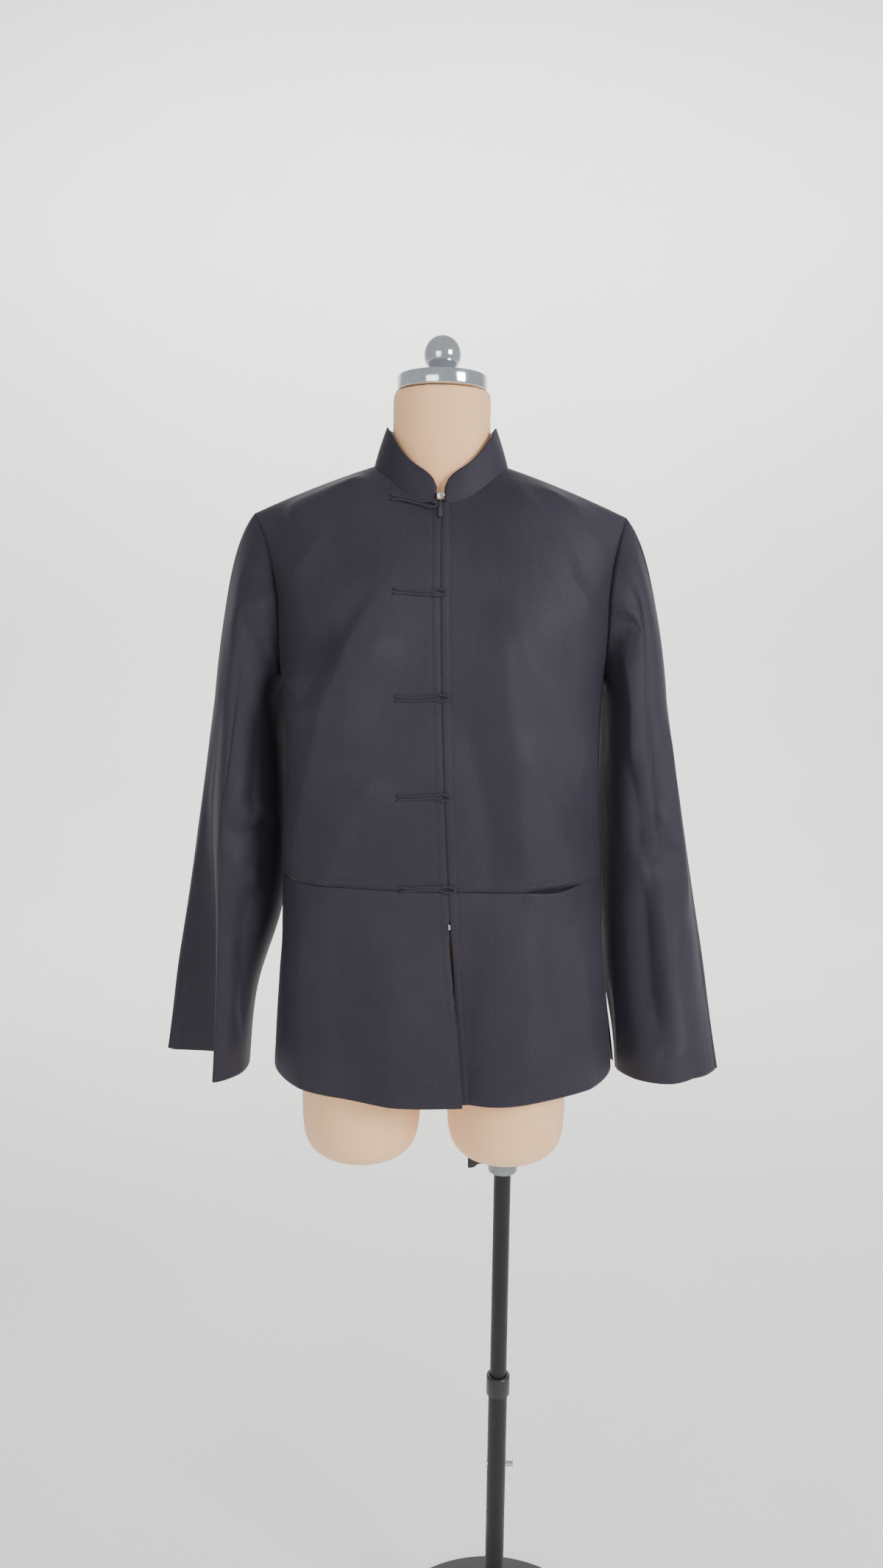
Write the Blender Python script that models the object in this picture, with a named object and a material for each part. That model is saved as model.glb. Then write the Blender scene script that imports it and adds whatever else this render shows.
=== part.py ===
"""Tang jacket worn by a half-body dress form on a telescoping stand.

Metres, +Z up, front towards -Y. The origin is the middle of the base plate's underside, on the
stand's pole, which enters the form's left thigh. The jacket and the form share an upright axis
that lies to the pole's -X side.

Every cloth piece is a thin wall between two grids of points. Both grids come from the same
surface function, once at full size and once drawn in by the cloth's thickness.
"""

import math

import bmesh
import bpy
from mathutils import Vector

# Stand and form
AXIS_X = -0.090
BASE_RADIUS = 0.175
BASE_THICK = 0.008
LOWER_TUBE_RADIUS = 0.0125
UPPER_TUBE_RADIUS = 0.0110
TUBE_WALL = 0.0012
LOWER_TUBE_TOP = 0.4245
TUBE_COLLAR_RADIUS = 0.0155
TUBE_COLLAR_BOTTOM = 0.410
TUBE_COLLAR_TOP = 0.437
PIN_Z = 0.3065
PIN_RADIUS = 0.0040
PIN_OUT = 0.0225
HOLE_PITCH = 0.0685
HOLE_RADIUS = 0.0045
HOLE_COUNT = 3
THIGH_BOTTOM = 0.749
FLANGE_RADIUS = 0.0185
FLANGE_HEIGHT = 0.026
SCREW_Z = 0.7365
CAP_RADIUS = 0.053
CAP_BOTTOM = 1.6903
CAP_TOP = 1.708
BALL_RADIUS = 0.022
BALL_Z = 1.7322

# Cloth
CLOTH = 0.0014
LINING = 0.0010
SEAM = 0.0004
ARMHOLE_SEAM = 0.0010
TAPE_SEAM = 0.0010
HEM_Z = 0.862
HEM_RISE = 0.010
POCKET_Z = 1.120
VENT_TOP = 1.020
NECK_FRONT_Z = 1.560
NECK_X = 0.080
NECK_Y_FRONT = 0.0660
NECK_Y_BACK = 0.0640
SHOULDER_Z = 1.604
SHOULDER_SLOPE = 0.330
SHOULDER_BEND = 0.436
SHOULDER_TIP_X = 0.2205
ARMHOLE_BASE_Z = 1.355
COLLAR_GAP = 0.0045
COLLAR_CLEAR = 0.0011
COLLAR_FRONT = 0.034
COLLAR_SIDE = 0.0450
COLLAR_CORNER = 0.018
COLLAR_LEAN_SIDE = 0.0145
COLLAR_LEAN_FRONT = 0.0065
FLARE_LEFT = 0.006
FLARE_RIGHT = 0.002
FLARE_BACK = 0.004
SLEEVE_CLEAR = 0.0030
VENT_CLEAR = 0.007
POCKET_DEEP = 0.105
FACING_START = 0.80
ZIP_END_Z = 1.083
TAPE_EDGE = 0.0006
TAPE_WIDTH = 0.0130
SLIDER_HALF_X = 0.0036
SLIDER_HALF_Z = 0.0046
SLIDER_THICK = 0.0022
TAB_LENGTH = 0.020
TAB_OUT = 0.0022
TAB_HALF = 0.0024
TAB_THICK = 0.0012
STOP_HALF_X = 0.0012
STOP_HALF_Z = 0.0030
STOP_THICK = 0.0008
HEAD_OUT = 1.05
HEAD_OUT_TOP = 0.42
HEAD_OUT_LOW = 0.45
HEAD_SPREAD = 0.40
HEAD_DROP = 0.16
HEAD_FALL = 0.30
HEAD_FLARE = 0.10
HEAD_PULL = 0.90
CORD_HALF = 0.0015
CORD_PITCH = 0.0036
CORD_EYE = 0.0062

# Body sections, axis to cloth
BODY = (
    # z, right half, left half, front, back, roundness
    (0.862, 0.203, 0.224, 0.130, 0.124, 1.95),
    (0.950, 0.196, 0.215, 0.128, 0.124, 2.00),
    (1.020, 0.192, 0.209, 0.126, 0.120, 2.05),
    (1.120, 0.190, 0.204, 0.126, 0.110, 2.10),
    (1.200, 0.187, 0.199, 0.125, 0.106, 2.20),
    (1.280, 0.186, 0.196, 0.125, 0.107, 2.30),
    (1.360, 0.190, 0.199, 0.126, 0.112, 2.40),
    (1.420, 0.200, 0.206, 0.126, 0.114, 2.40),
    (1.480, 0.212, 0.213, 0.124, 0.114, 2.40),
    (1.560, 0.226, 0.226, 0.122, 0.112, 2.40),
    (1.680, 0.230, 0.230, 0.120, 0.110, 2.40),
)

# Upper armhole edge, from mid height to the shoulder tip
ARMHOLE = (
    # z, right x, left x
    (1.452, 0.186, 0.197),
    (1.490, 0.195, 0.202),
    (1.520, 0.205, 0.210),
    (1.549, 0.2205, 0.2205),
)

# Sleeve sections; each pair is a distance out from the axis and a depth
SLEEVE_RIGHT = (
    # z, outer edge, front recess, front crease
    # inner front, inner side, inner back, back
    (1.330, (0.2685, 0.000), (0.257, -0.046), (0.236, -0.066), (0.207, -0.047),
     (0.196, 0.000), (0.191, 0.052), (0.236, 0.070)),
    (1.170, (0.2950, 0.022), (0.272, -0.012), (0.260, -0.064), (0.224, -0.050),
     (0.195, -0.005), (0.191, 0.050), (0.245, 0.068)),
    (1.060, (0.3130, 0.036), (0.272, 0.006), (0.266, -0.060), (0.232, -0.046),
     (0.203, -0.002), (0.202, 0.050), (0.258, 0.068)),
    (0.960, (0.3295, 0.046), (0.271, 0.022), (0.270, -0.057), (0.238, -0.038),
     (0.228, 0.006), (0.235, 0.055), (0.270, 0.070)),
    (0.860, (0.3460, 0.059), (0.268, 0.038), (0.274, -0.053), (0.243, -0.027),
     (0.238, 0.018), (0.250, 0.064), (0.292, 0.073)),
)
SLEEVE_LEFT = (
    (1.330, (0.2745, 0.000), (0.262, -0.046), (0.240, -0.066), (0.214, -0.048),
     (0.204, 0.000), (0.203, 0.050), (0.242, 0.068)),
    (1.170, (0.3035, 0.006), (0.288, -0.045), (0.256, -0.062), (0.224, -0.046),
     (0.209, 0.000), (0.205, 0.050), (0.260, 0.060)),
    (1.060, (0.3230, 0.010), (0.302, -0.040), (0.268, -0.056), (0.232, -0.040),
     (0.214, 0.002), (0.214, 0.046), (0.270, 0.052)),
    (0.960, (0.3415, 0.012), (0.316, -0.034), (0.282, -0.050), (0.241, -0.034),
     (0.222, 0.006), (0.226, 0.042), (0.284, 0.046)),
    (0.860, (0.3590, 0.012), (0.335, -0.022), (0.292, -0.043), (0.253, -0.028),
     (0.232, 0.012), (0.253, 0.028), (0.294, 0.031)),
)
SLEEVE_EDGE_HALF = {1.330: 0.016, 1.170: 0.013, 1.060: 0.011, 0.960: 0.008, 0.860: 0.005}

# Form sections, neck to seat
FORM = (
    # z, half width, front, back
    (0.8750, 0.120, 0.070, 0.078),
    (0.8850, 0.150, 0.088, 0.096),
    (0.9100, 0.166, 0.098, 0.110),
    (0.9600, 0.171, 0.101, 0.116),
    (1.0200, 0.166, 0.099, 0.106),
    (1.1000, 0.150, 0.098, 0.088),
    (1.2000, 0.150, 0.101, 0.088),
    (1.3000, 0.164, 0.108, 0.096),
    (1.3800, 0.176, 0.110, 0.101),
    (1.4400, 0.184, 0.104, 0.101),
    (1.4900, 0.194, 0.092, 0.097),
    (1.5200, 0.191, 0.082, 0.088),
    (1.5400, 0.174, 0.071, 0.078),
    (1.5600, 0.134, 0.058, 0.062),
    (1.5800, 0.094, 0.051, 0.050),
    (1.5950, 0.066, 0.050, 0.047),
    (1.6100, 0.0585, 0.052, 0.048),
    (1.6400, 0.0575, 0.0540, 0.050),
    (1.6900, 0.0575, 0.0545, 0.050),
)
# Thigh sections
THIGH = (
    # z, centre x, half width, centre y, half depth
    (0.7490, 0.091, 0.030, 0.000, 0.030),
    (0.7510, 0.091, 0.044, 0.000, 0.044),
    (0.7580, 0.091, 0.059, 0.000, 0.062),
    (0.7720, 0.092, 0.070, 0.000, 0.078),
    (0.7950, 0.092, 0.0745, 0.001, 0.086),
    (0.8300, 0.092, 0.0755, 0.002, 0.091),
    (0.8700, 0.092, 0.0750, 0.004, 0.095),
    (0.9200, 0.090, 0.0730, 0.006, 0.096),
)
# Pocket mouths, measured out from the axis
POCKETS = {
    # wearer's side: (mouth start, mouth end, sag, bag start, bag end)
    -1: (0.095, 0.160, 0.0015, 0.085, 0.170),
    1: (0.098, 0.172, 0.0050, 0.088, 0.182),
}
# Frog loops: level, where each end lies across the zip
FROGS = (
    # closed end z, eye tip z, closed end x, eye tip x
    (1.5615, 1.5535, -0.056, -0.0045),
    (1.4555, 1.4545, -0.050, 0.007),
    (1.3385, 1.3395, -0.047, 0.011),
    (1.2275, 1.2285, -0.044, 0.014),
    (1.1220, 1.1240, -0.040, 0.021),
)

COLOURS = {
    "cloth": ("#3a373f", 0.78, 0.0),
    "cloth_inside": ("#8a8883", 0.80, 0.0),
    "cord": ("#35323a", 0.75, 0.0),
    "jersey": ("#e2c8ac", 0.85, 0.0),
    "chrome": ("#c9ccd0", 0.15, 1.0),
    "cast_metal": ("#8d8f92", 0.45, 1.0),
    "black_plastic": ("#1d1d20", 0.45, 0.0),
    "black_steel": ("#2b2a2e", 0.40, 0.6),
    "zip_tape": ("#2c2a31", 0.85, 0.0),
    "zip_metal": ("#a7a8ab", 0.35, 1.0),
}

RIGHT = -1
LEFT = 1
FRONT = -1
BACK = 1


# ---------------------------------------------------------------- helpers

def material(kind):
    """Principled material for one of the named finishes."""
    found = bpy.data.materials.get(kind)
    if found:
        return found
    code, roughness, metallic = COLOURS[kind]
    made = bpy.data.materials.new(kind)
    made.use_nodes = True
    shader = made.node_tree.nodes["Principled BSDF"]
    rgb = []
    for start in (1, 3, 5):
        value = int(code[start:start + 2], 16) / 255
        rgb.append(value / 12.92 if value <= 0.04045 else ((value + 0.055) / 1.055) ** 2.4)
    shader.inputs["Base Color"].default_value = (*rgb, 1)
    shader.inputs["Roughness"].default_value = roughness
    shader.inputs["Metallic"].default_value = metallic
    return made


def finish(name, bm, kind, smooth_angle=40):
    """Turn a bmesh into a named object with one material."""
    bmesh.ops.recalc_face_normals(bm, faces=bm.faces)
    mesh = bpy.data.meshes.new(name)
    bm.to_mesh(mesh)
    bm.free()
    mesh.shade_smooth()
    mesh.set_sharp_from_angle(angle=math.radians(smooth_angle))
    mesh.materials.append(material(kind))
    thing = bpy.data.objects.new(name, mesh)
    bpy.context.scene.collection.objects.link(thing)
    return thing


def table(rows, z):
    """Row of a table at height z, joined smoothly between its rows."""
    if z <= rows[0][0]:
        return rows[0][1:]
    if z >= rows[-1][0]:
        return rows[-1][1:]
    for low, high in zip(rows, rows[1:]):
        if z <= high[0]:
            share = (z - low[0]) / (high[0] - low[0])
            return tuple(a + (b - a) * share for a, b in zip(low[1:], high[1:]))
    return rows[-1][1:]


def smooth(value):
    """Ease from 0 to 1."""
    value = min(max(value, 0.0), 1.0)
    return value * value * (3 - 2 * value)


def mix(a, b, share):
    """Value part of the way from a to b."""
    return a + (b - a) * share


# ---------------------------------------------------------------- body surface

def shoulder_z(x):
    """Height of the shoulder ridge at a distance out from the axis."""
    out = abs(x) - NECK_X
    if out < 0:
        return SHOULDER_Z - SHOULDER_SLOPE * out
    return SHOULDER_Z - SHOULDER_SLOPE * out - SHOULDER_BEND * out * out


def zip_x(z):
    """Where the two fronts meet: it drifts to the wearer's left on the way down."""
    return 0.068 * max(1.570 - z, 0.0) ** 2


def dome(x, z, side, inset):
    """How much of the full depth is left as the cloth turns over the shoulder."""
    start = 1.360 if side == FRONT else 1.400
    power = 2.0 if side == FRONT else 3.0
    top = shoulder_z(x) - inset
    share = min(max((z - start) / (top - start), 0.0), 1.0)
    ease = 0.5
    if side == FRONT:
        ease += 0.3 * (1 - smooth(abs(x) / 0.100))
    return max(1 - share ** power, 0.0) ** ease


def body_section(z, side, hand, inset):
    """Half width, depth and roundness of the jacket's body at a height."""
    right, left, front, back, power = table(BODY, z)
    half = right if hand == RIGHT else left
    depth = front if side == FRONT else back
    return half - inset, depth - inset, power


def body_depth(x, z, side, inset=0.0):
    """Depth y of the body's cloth at x, z."""
    hand = RIGHT if x < 0 else LEFT
    half, depth, power = body_section(z, side, hand, inset)
    across = min(abs(x) / half, 1.0)
    bulge = max(1 - across ** power, 0.0) ** (1 / power)
    return side * depth * bulge * dome(x, z, side, inset)


def body_half(y, z, side, hand, inset=0.0):
    """Distance out from the axis of the body's cloth at y, z, below the armhole's middle."""
    half, depth, power = body_section(z, side, hand, inset)
    along = min(abs(y) / (depth * dome(half * 0.9, z, side, inset)), 1.0)
    return half * max(1 - along ** power, 0.0) ** (1 / power)


def armhole(z, side, hand):
    """Edge of the armhole at a height: distance out and depth."""
    middle, right_x, left_x = ARMHOLE[0]
    column = 0 if hand == RIGHT else 1
    if z >= middle:
        out = table(ARMHOLE, z)[column]
        return out, body_depth(hand * out, z, side)
    out = right_x if hand == RIGHT else left_x
    deep = body_depth(hand * out, middle, side)
    drop = min((middle - z) / (middle - ARMHOLE_BASE_Z), 1.0)
    y = deep * math.sqrt(max(1 - drop * drop, 0.0))
    low, high = 0.5 * out, 0.25
    for _ in range(40):
        trial = (low + high) / 2
        if abs(body_depth(hand * trial, z, side)) > abs(y):
            low = trial
        else:
            high = trial
    return low, y


def edge_out(z, side, hand):
    """Distance out of a panel's outer edge: side seam, then armhole."""
    if z > ARMHOLE_BASE_Z:
        return armhole(min(z, ARMHOLE[-1][0]), side, hand)[0]
    return body_section(z, side, hand, 0.0)[0]


def neck_height(x, side, inset=0.0):
    """Height of the neck seam at x, where the body surface meets the neck's oval."""
    reach = NECK_Y_FRONT if side == FRONT else NECK_Y_BACK
    across = min(abs(x) / NECK_X, 1.0)
    want = reach * math.sqrt(max(1 - across * across, 0.0))
    low, high = 1.45, shoulder_z(x)
    for _ in range(40):
        trial = (low + high) / 2
        if abs(body_depth(x, trial, side)) > want:
            low = trial
        else:
            high = trial
    return (low + high) / 2 - inset * 0.6


NECK_SHARE = 5 / 12


def top_edge(u, side):
    """Neck seam and shoulder seam, from the middle (0) to the shoulder tip (1)."""
    if u <= NECK_SHARE:
        out = NECK_X * math.sin(u / NECK_SHARE * math.pi / 2)
        return out, neck_height(out, side)
    out = mix(NECK_X, SHOULDER_TIP_X, (u - NECK_SHARE) / (1 - NECK_SHARE))
    return out, shoulder_z(out)


def pocket_gape(x, z, hand):
    """How far the lower front's top edge sags open at the pocket mouth."""
    start, end, most = POCKETS[hand][:3]
    along = (abs(x) - start) / (end - start)
    if not 0 < along < 1:
        return 0.0
    return most * math.sin(math.pi * along) * smooth((z - (POCKET_Z - 0.050)) / 0.050)


def body_point(u, v, side, hand, low, high, inset):
    """Point of a body panel: u from the middle to the side, v from its lower to its upper edge."""
    top_x, top_z = top_edge(u, side)
    bottom = HEM_Z + HEM_RISE * u * u
    start = bottom if low is None else low
    end = top_z - inset * 0.8 if high is None else high
    z = mix(start, end, v)
    share_up = smooth((z - 1.20) / (top_z - 1.20))
    share = mix(math.sin(u * math.pi / 2), top_x / SHOULDER_TIP_X, share_up)
    middle = hand * zip_x(z) if side == FRONT else 0.0
    edge = edge_out(z, side, hand)
    out = mix(middle, edge, share)
    half = body_section(z, side, hand, inset)[0]
    out = min(out, half)
    if side == FRONT:
        out = max(out, middle + SEAM / 2)
    y = body_depth(hand * out, z, side, inset)
    if side == FRONT:
        y = min(y, -SEAM / 2)
        if high is not None:
            y -= pocket_gape(out, z, hand)
    else:
        y = max(y, SEAM / 2)
    return Vector((AXIS_X + hand * out, y, z))


# ---------------------------------------------------------------- cloth walls

def cloth(name, outer, inner, kind, closed=False):
    """Closed wall between an outer and an inner grid of points, row by row."""
    bm = bmesh.new()
    layers = []
    for grid in (outer, inner):
        layers.append([[bm.verts.new(point) for point in row] for row in grid])
    rows = len(outer)
    columns = len(outer[0])
    spans = columns if closed else columns - 1
    for layer in layers:
        for i in range(rows - 1):
            for j in range(spans):
                k = (j + 1) % columns
                bm.faces.new((layer[i][j], layer[i][k], layer[i + 1][k], layer[i + 1][j]))
    out, into = layers
    for i in (0, rows - 1):
        for j in range(spans):
            k = (j + 1) % columns
            bm.faces.new((out[i][j], out[i][k], into[i][k], into[i][j]))
    if not closed:
        for j in (0, columns - 1):
            for i in range(rows - 1):
                bm.faces.new((out[i][j], out[i + 1][j], into[i + 1][j], into[i][j]))
    return finish(name, bm, kind)


def row_shares(lower, upper, knee):
    """Shares of a panel's height: few rows up to the knee, more beside the armhole."""
    shares = [knee * i / lower for i in range(lower)]
    shares.extend(knee + (1 - knee) * i / upper for i in range(upper + 1))
    return shares


def front_panel(name, hand, low, high, shares, columns=12):
    """One front, cut at the pocket seam, from the zip to the side seam and armhole."""
    grids = []
    for inset in (0.0, CLOTH):
        grids.append([[body_point(j / columns, v, FRONT, hand, low, high, inset)
                       for j in range(columns + 1)] for v in shares])
    return cloth(name, *grids, "cloth")


def back_point(j, columns, v, inset):
    """Point of the back, which runs from side seam to side seam; its vent edges flare."""
    across = 2 * j / columns - 1
    hand = RIGHT if across < 0 else LEFT
    point = body_point(abs(across), v, BACK, hand, None, None, inset)
    flare = FLARE_LEFT if hand == LEFT else FLARE_RIGHT
    open_share = smooth((VENT_TOP - point.z) / (VENT_TOP - HEM_Z)) * abs(across) ** 6
    point.x += hand * flare * open_share
    point.y += FLARE_BACK * open_share
    return point


def back_panel(columns=20):
    """Back in one piece, from the hem to the neck and shoulder seams."""
    grids = []
    for inset in (0.0, CLOTH):
        grids.append([[back_point(j, columns, v, inset) for j in range(columns + 1)]
                      for v in row_shares(8, 10, 0.66)])
    return cloth("back", *grids, "cloth")


# ---------------------------------------------------------------- sleeves

PROFILE_ANGLES = (14, 48, 90, 135, 180, 225, 270, 346)


def sleeve_profile(rows, z):
    """The eight places that a sleeve's section goes round, at a height."""
    flat = []
    for row in rows:
        values = [row[0]]
        for pair in row[1:]:
            values.extend(pair)
        values.append(SLEEVE_EDGE_HALF[row[0]])
        flat.append(tuple(values))
    flat.sort()
    values = table(flat, z)
    pairs = [Vector((values[2 * i], values[2 * i + 1])) for i in range(7)]
    half = values[14]
    outer = pairs[0]
    return [outer + Vector((0, -half)), *pairs[1:], outer + Vector((0, half))]


def closed_curve(places, steps):
    """Smooth closed curve through a ring of places."""
    points = []
    count = len(places)
    for i in range(count):
        a, b, c, d = (places[(i + k - 1) % count] for k in range(4))
        for step in range(steps):
            t = step / steps
            points.append(0.5 * ((2 * b) + (c - a) * t + (2 * a - 5 * b + 4 * c - d) * t * t
                                 + (3 * b - a - 3 * c + d) * t ** 3))
    return points


def sleeve_ring(rows, z, hand, steps):
    """Ring of a sleeve below the armhole, kept clear of the jacket's side."""
    ring = []
    for place in closed_curve(sleeve_profile(rows, z), steps):
        side = FRONT if place.y < 0 else BACK
        side_x = body_half(place.y, z, side, hand) + SLEEVE_CLEAR
        if z < VENT_TOP + 0.02 and side == BACK and hand == LEFT:
            side_x += VENT_CLEAR * smooth((VENT_TOP + 0.02 - z) / 0.10)
        out = max(place.x, side_x)
        ring.append(Vector((AXIS_X + hand * out, place.y, z)))
    return ring


def armhole_ring(hand, steps):
    """Ring of points along the armhole, in step with the sleeve's sections."""
    ring = []
    middle = (ARMHOLE[-1][0] + ARMHOLE_BASE_Z) / 2
    half = (ARMHOLE[-1][0] - ARMHOLE_BASE_Z) / 2
    count = len(PROFILE_ANGLES)
    for i in range(count):
        start = PROFILE_ANGLES[i]
        end = PROFILE_ANGLES[(i + 1) % count]
        if end < start:
            end += 360
        for step in range(steps):
            angle = math.radians(mix(start, end, step / steps))
            z = middle + half * math.cos(angle)
            side = FRONT if math.sin(angle) > 0 else BACK
            out, y = armhole(z, side, hand)
            ring.append(Vector((AXIS_X + hand * (out + ARMHOLE_SEAM), y, z)))
    return ring


def sleeve_head(start, end, hand, rings):
    """Rings of the sleeve cap, from the armhole over to the first whole section."""
    made = []
    centre = sum(start, Vector()) / len(start)
    half_tall = (ARMHOLE[-1][0] - ARMHOLE_BASE_Z) / 2
    half_deep = max(abs(point.y - centre.y) for point in start)
    for k in range(1, rings):
        t = k / rings
        row = []
        for a, b in zip(start, end):
            reach = (b - a).length
            up = max((a.z - centre.z) / half_tall, 0.0)
            spread = (a.y - centre.y) / half_deep
            low = max((centre.z - a.z) / half_tall, 0.0)
            out = mix(mix(HEAD_OUT, HEAD_OUT_TOP, smooth(up)), HEAD_OUT_LOW, smooth(low))
            leave = Vector((hand * out, HEAD_SPREAD * spread, -HEAD_DROP - HEAD_FALL * up))
            leave *= reach
            arrive = Vector((hand * HEAD_FLARE, 0, -1.0)) * reach * HEAD_PULL
            h1 = 2 * t ** 3 - 3 * t * t + 1
            h2 = t ** 3 - 2 * t * t + t
            h3 = -2 * t ** 3 + 3 * t * t
            h4 = t ** 3 - t * t
            row.append(h1 * a + h2 * leave + h3 * b + h4 * arrive)
        made.append(row)
    return made


def sleeve(name, rows, hand, steps=4, head=5, lower=9):
    """Whole sleeve: cap, then sections down to an open cuff."""
    first = armhole_ring(hand, steps)
    top = sleeve_ring(rows, rows[0][0], hand, steps)
    rings = [first, *sleeve_head(first, top, hand, head), top]
    for i in range(1, lower + 1):
        z = mix(rows[0][0], rows[-1][0], i / lower)
        rings.append(sleeve_ring(rows, z, hand, steps))
    inner = []
    for i, ring in enumerate(rings):
        above = rings[max(i - 1, 0)]
        below = rings[min(i + 1, len(rings) - 1)]
        row = []
        for j, point in enumerate(ring):
            round_it = ring[(j + 1) % len(ring)] - ring[j - 1]
            down = below[j] - above[j]
            inward = round_it.cross(down)
            inward.normalize()
            row.append(inward)
        middle = sum(ring, Vector()) / len(ring)
        lean = sum((n.dot(middle - p) for n, p in zip(row, ring)))
        sign = 1 if lean > 0 else -1
        moved = [point + n * sign * CLOTH for point, n in zip(ring, row)]
        if i == 0:
            for point, source in zip(moved, ring):
                point.x = source.x
        inner.append(moved)
    return cloth(name, rings, inner, "cloth", closed=True)


# ---------------------------------------------------------------- collar

def neck_seam(angle):
    """Point of the neck seam, by angle round from the front."""
    x = NECK_X * math.sin(angle)
    side = FRONT if math.cos(angle) >= 0 else BACK
    reach = NECK_Y_FRONT if side == FRONT else NECK_Y_BACK
    return Vector((AXIS_X + x, -reach * math.cos(angle), neck_height(x, side)))


def collar_height(angle):
    """Height of the stand collar, with its front corners rounded off."""
    round_share = smooth(abs(angle) / math.radians(95))
    height = mix(COLLAR_FRONT, COLLAR_SIDE, round_share)
    from_edge = abs(angle) * NECK_Y_FRONT - COLLAR_GAP
    if from_edge < COLLAR_CORNER:
        gone = COLLAR_CORNER - max(from_edge, 0.0)
        height -= COLLAR_CORNER - math.sqrt(COLLAR_CORNER ** 2 - gone ** 2)
    return height


def collar_layer(columns, rows, inset, lift):
    """Grid of one layer of the collar."""
    first = math.asin(COLLAR_GAP / NECK_X)
    grid = []
    for i in range(rows + 1):
        row = []
        for j in range(columns + 1):
            across = 2 * j / columns - 1
            bent = math.copysign(abs(across) ** 1.25, across)
            angle = math.pi - bent * (math.pi - first)
            angle = angle if angle <= math.pi else angle - 2 * math.pi
            base = neck_seam(angle)
            height = collar_height(angle)
            share = i / rows
            lean = height * share / COLLAR_SIDE
            inward = Vector((AXIS_X - base.x, -base.y, 0)).normalized()
            base += inward * (inset + COLLAR_CLEAR + COLLAR_LEAN_SIDE * lean * math.sin(angle) ** 2
                              + COLLAR_LEAN_FRONT * lean * math.cos(angle) ** 2)
            base.z += COLLAR_CLEAR + lift + (height - lift) * share
            row.append(base)
        grid.append(row)
    return grid


def collar(columns=30, rows=4):
    """Outer stand and its paler inner layer."""
    cloth("collar", collar_layer(columns, rows, 0.0, 0.0),
          collar_layer(columns, rows, CLOTH, 0.0), "cloth")
    start = CLOTH + SEAM
    cloth("collar_lining", collar_layer(columns, rows, start, 0.0),
          collar_layer(columns, rows, start + LINING, 0.0), "cloth_inside")


# ---------------------------------------------------------------- zip, frogs, pockets, vents

def on_front(x, z, out):
    """Point a little in front of the fronts' cloth."""
    return Vector((AXIS_X + x, body_depth(x, z, FRONT) - out, z))


def zip_tape(name, hand, steps=16):
    """Woven tape behind one front's edge, from the neck to the zip's end."""
    grids = []
    for inset in (CLOTH + TAPE_SEAM, CLOTH + TAPE_SEAM + LINING):
        grid = []
        for i in range(steps + 1):
            z = mix(ZIP_END_Z, NECK_FRONT_Z - 0.010, i / steps)
            row = []
            for reach in (TAPE_EDGE, TAPE_WIDTH):
                x = zip_x(z) + hand * reach
                row.append(Vector((AXIS_X + x, body_depth(x, z, FRONT, inset), z)))
            grid.append(row)
        grids.append(grid)
    return cloth(name, *grids, "zip_tape")


def tube_along(name, path, normals, half_wide, half_thick, kind, sides=6):
    """Flattened cord along a path, with closed ends."""
    bm = bmesh.new()
    rings = []
    for i, (point, normal) in enumerate(zip(path, normals)):
        after = path[min(i + 1, len(path) - 1)]
        before = path[max(i - 1, 0)]
        along = (after - before).normalized()
        across = along.cross(normal).normalized()
        ring = []
        for k in range(sides):
            angle = 2 * math.pi * (k + 0.5) / sides
            offset = across * math.cos(angle) * half_wide + normal * math.sin(angle) * half_thick
            ring.append(bm.verts.new(point + offset))
        rings.append(ring)
    for low, high in zip(rings, rings[1:]):
        for k in range(sides):
            n = (k + 1) % sides
            bm.faces.new((low[k], low[n], high[n], high[k]))
    bm.faces.new(rings[0])
    bm.faces.new(rings[-1])
    return finish(name, bm, kind, 60)


def frog(name, closed_z, tip_z, closed_x, tip_x):
    """Loop half of a frog: one doubled bias cord that opens to an eye at its tip."""
    strand = CORD_HALF
    pitch = CORD_PITCH
    eye = CORD_EYE
    steps = 9
    spread = []
    for i in range(steps + 1):
        share = i / steps
        x = mix(closed_x, tip_x - eye / 2, share)
        closed_half = pitch / 2 + 0.0012 * max(1 - share * 6, 0)
        half = mix(closed_half, eye / 2, smooth((share - 0.76) / 0.16))
        spread.append((x, half))
    outline = list(spread)
    for angle in (60, 30, 0, -30, -60):
        turn = math.radians(angle)
        outline.append((tip_x - eye / 2 + eye / 2 * math.cos(turn), eye / 2 * math.sin(turn)))
    outline.extend((x, -half) for x, half in reversed(spread))
    path = []
    normals = []
    for x, up in outline:
        z = mix(closed_z, tip_z, (x - closed_x) / (tip_x - closed_x))
        sag = 0.0012 * math.sin((x - closed_x) * 90)
        path.append(on_front(x, z + up + sag, 0.0012 + strand * 0.75))
        near = on_front(x + 0.002, z, 0) - on_front(x - 0.002, z, 0)
        rise = on_front(x, z + 0.002, 0) - on_front(x, z - 0.002, 0)
        normals.append(near.cross(rise).normalized())
    return tube_along(name, path, normals, strand, strand * 0.8, "cord")


def pocket_bag(name, hand, columns=8, rows=5):
    """Inner wall of the pocket, behind its mouth."""
    start, end = POCKETS[hand][3:]
    grids = []
    for inset in (CLOTH + 0.0010, CLOTH + 0.0010 + LINING):
        grid = []
        for i in range(rows + 1):
            z = mix(POCKET_Z - POCKET_DEEP, POCKET_Z - 0.003, i / rows)
            row = []
            for j in range(columns + 1):
                out = mix(start, end, j / columns)
                y = body_depth(hand * out, z, FRONT, inset)
                row.append(Vector((AXIS_X + hand * out, y, z)))
            grid.append(row)
        grids.append(grid)
    return cloth(name, *grids, "cloth")


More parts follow.
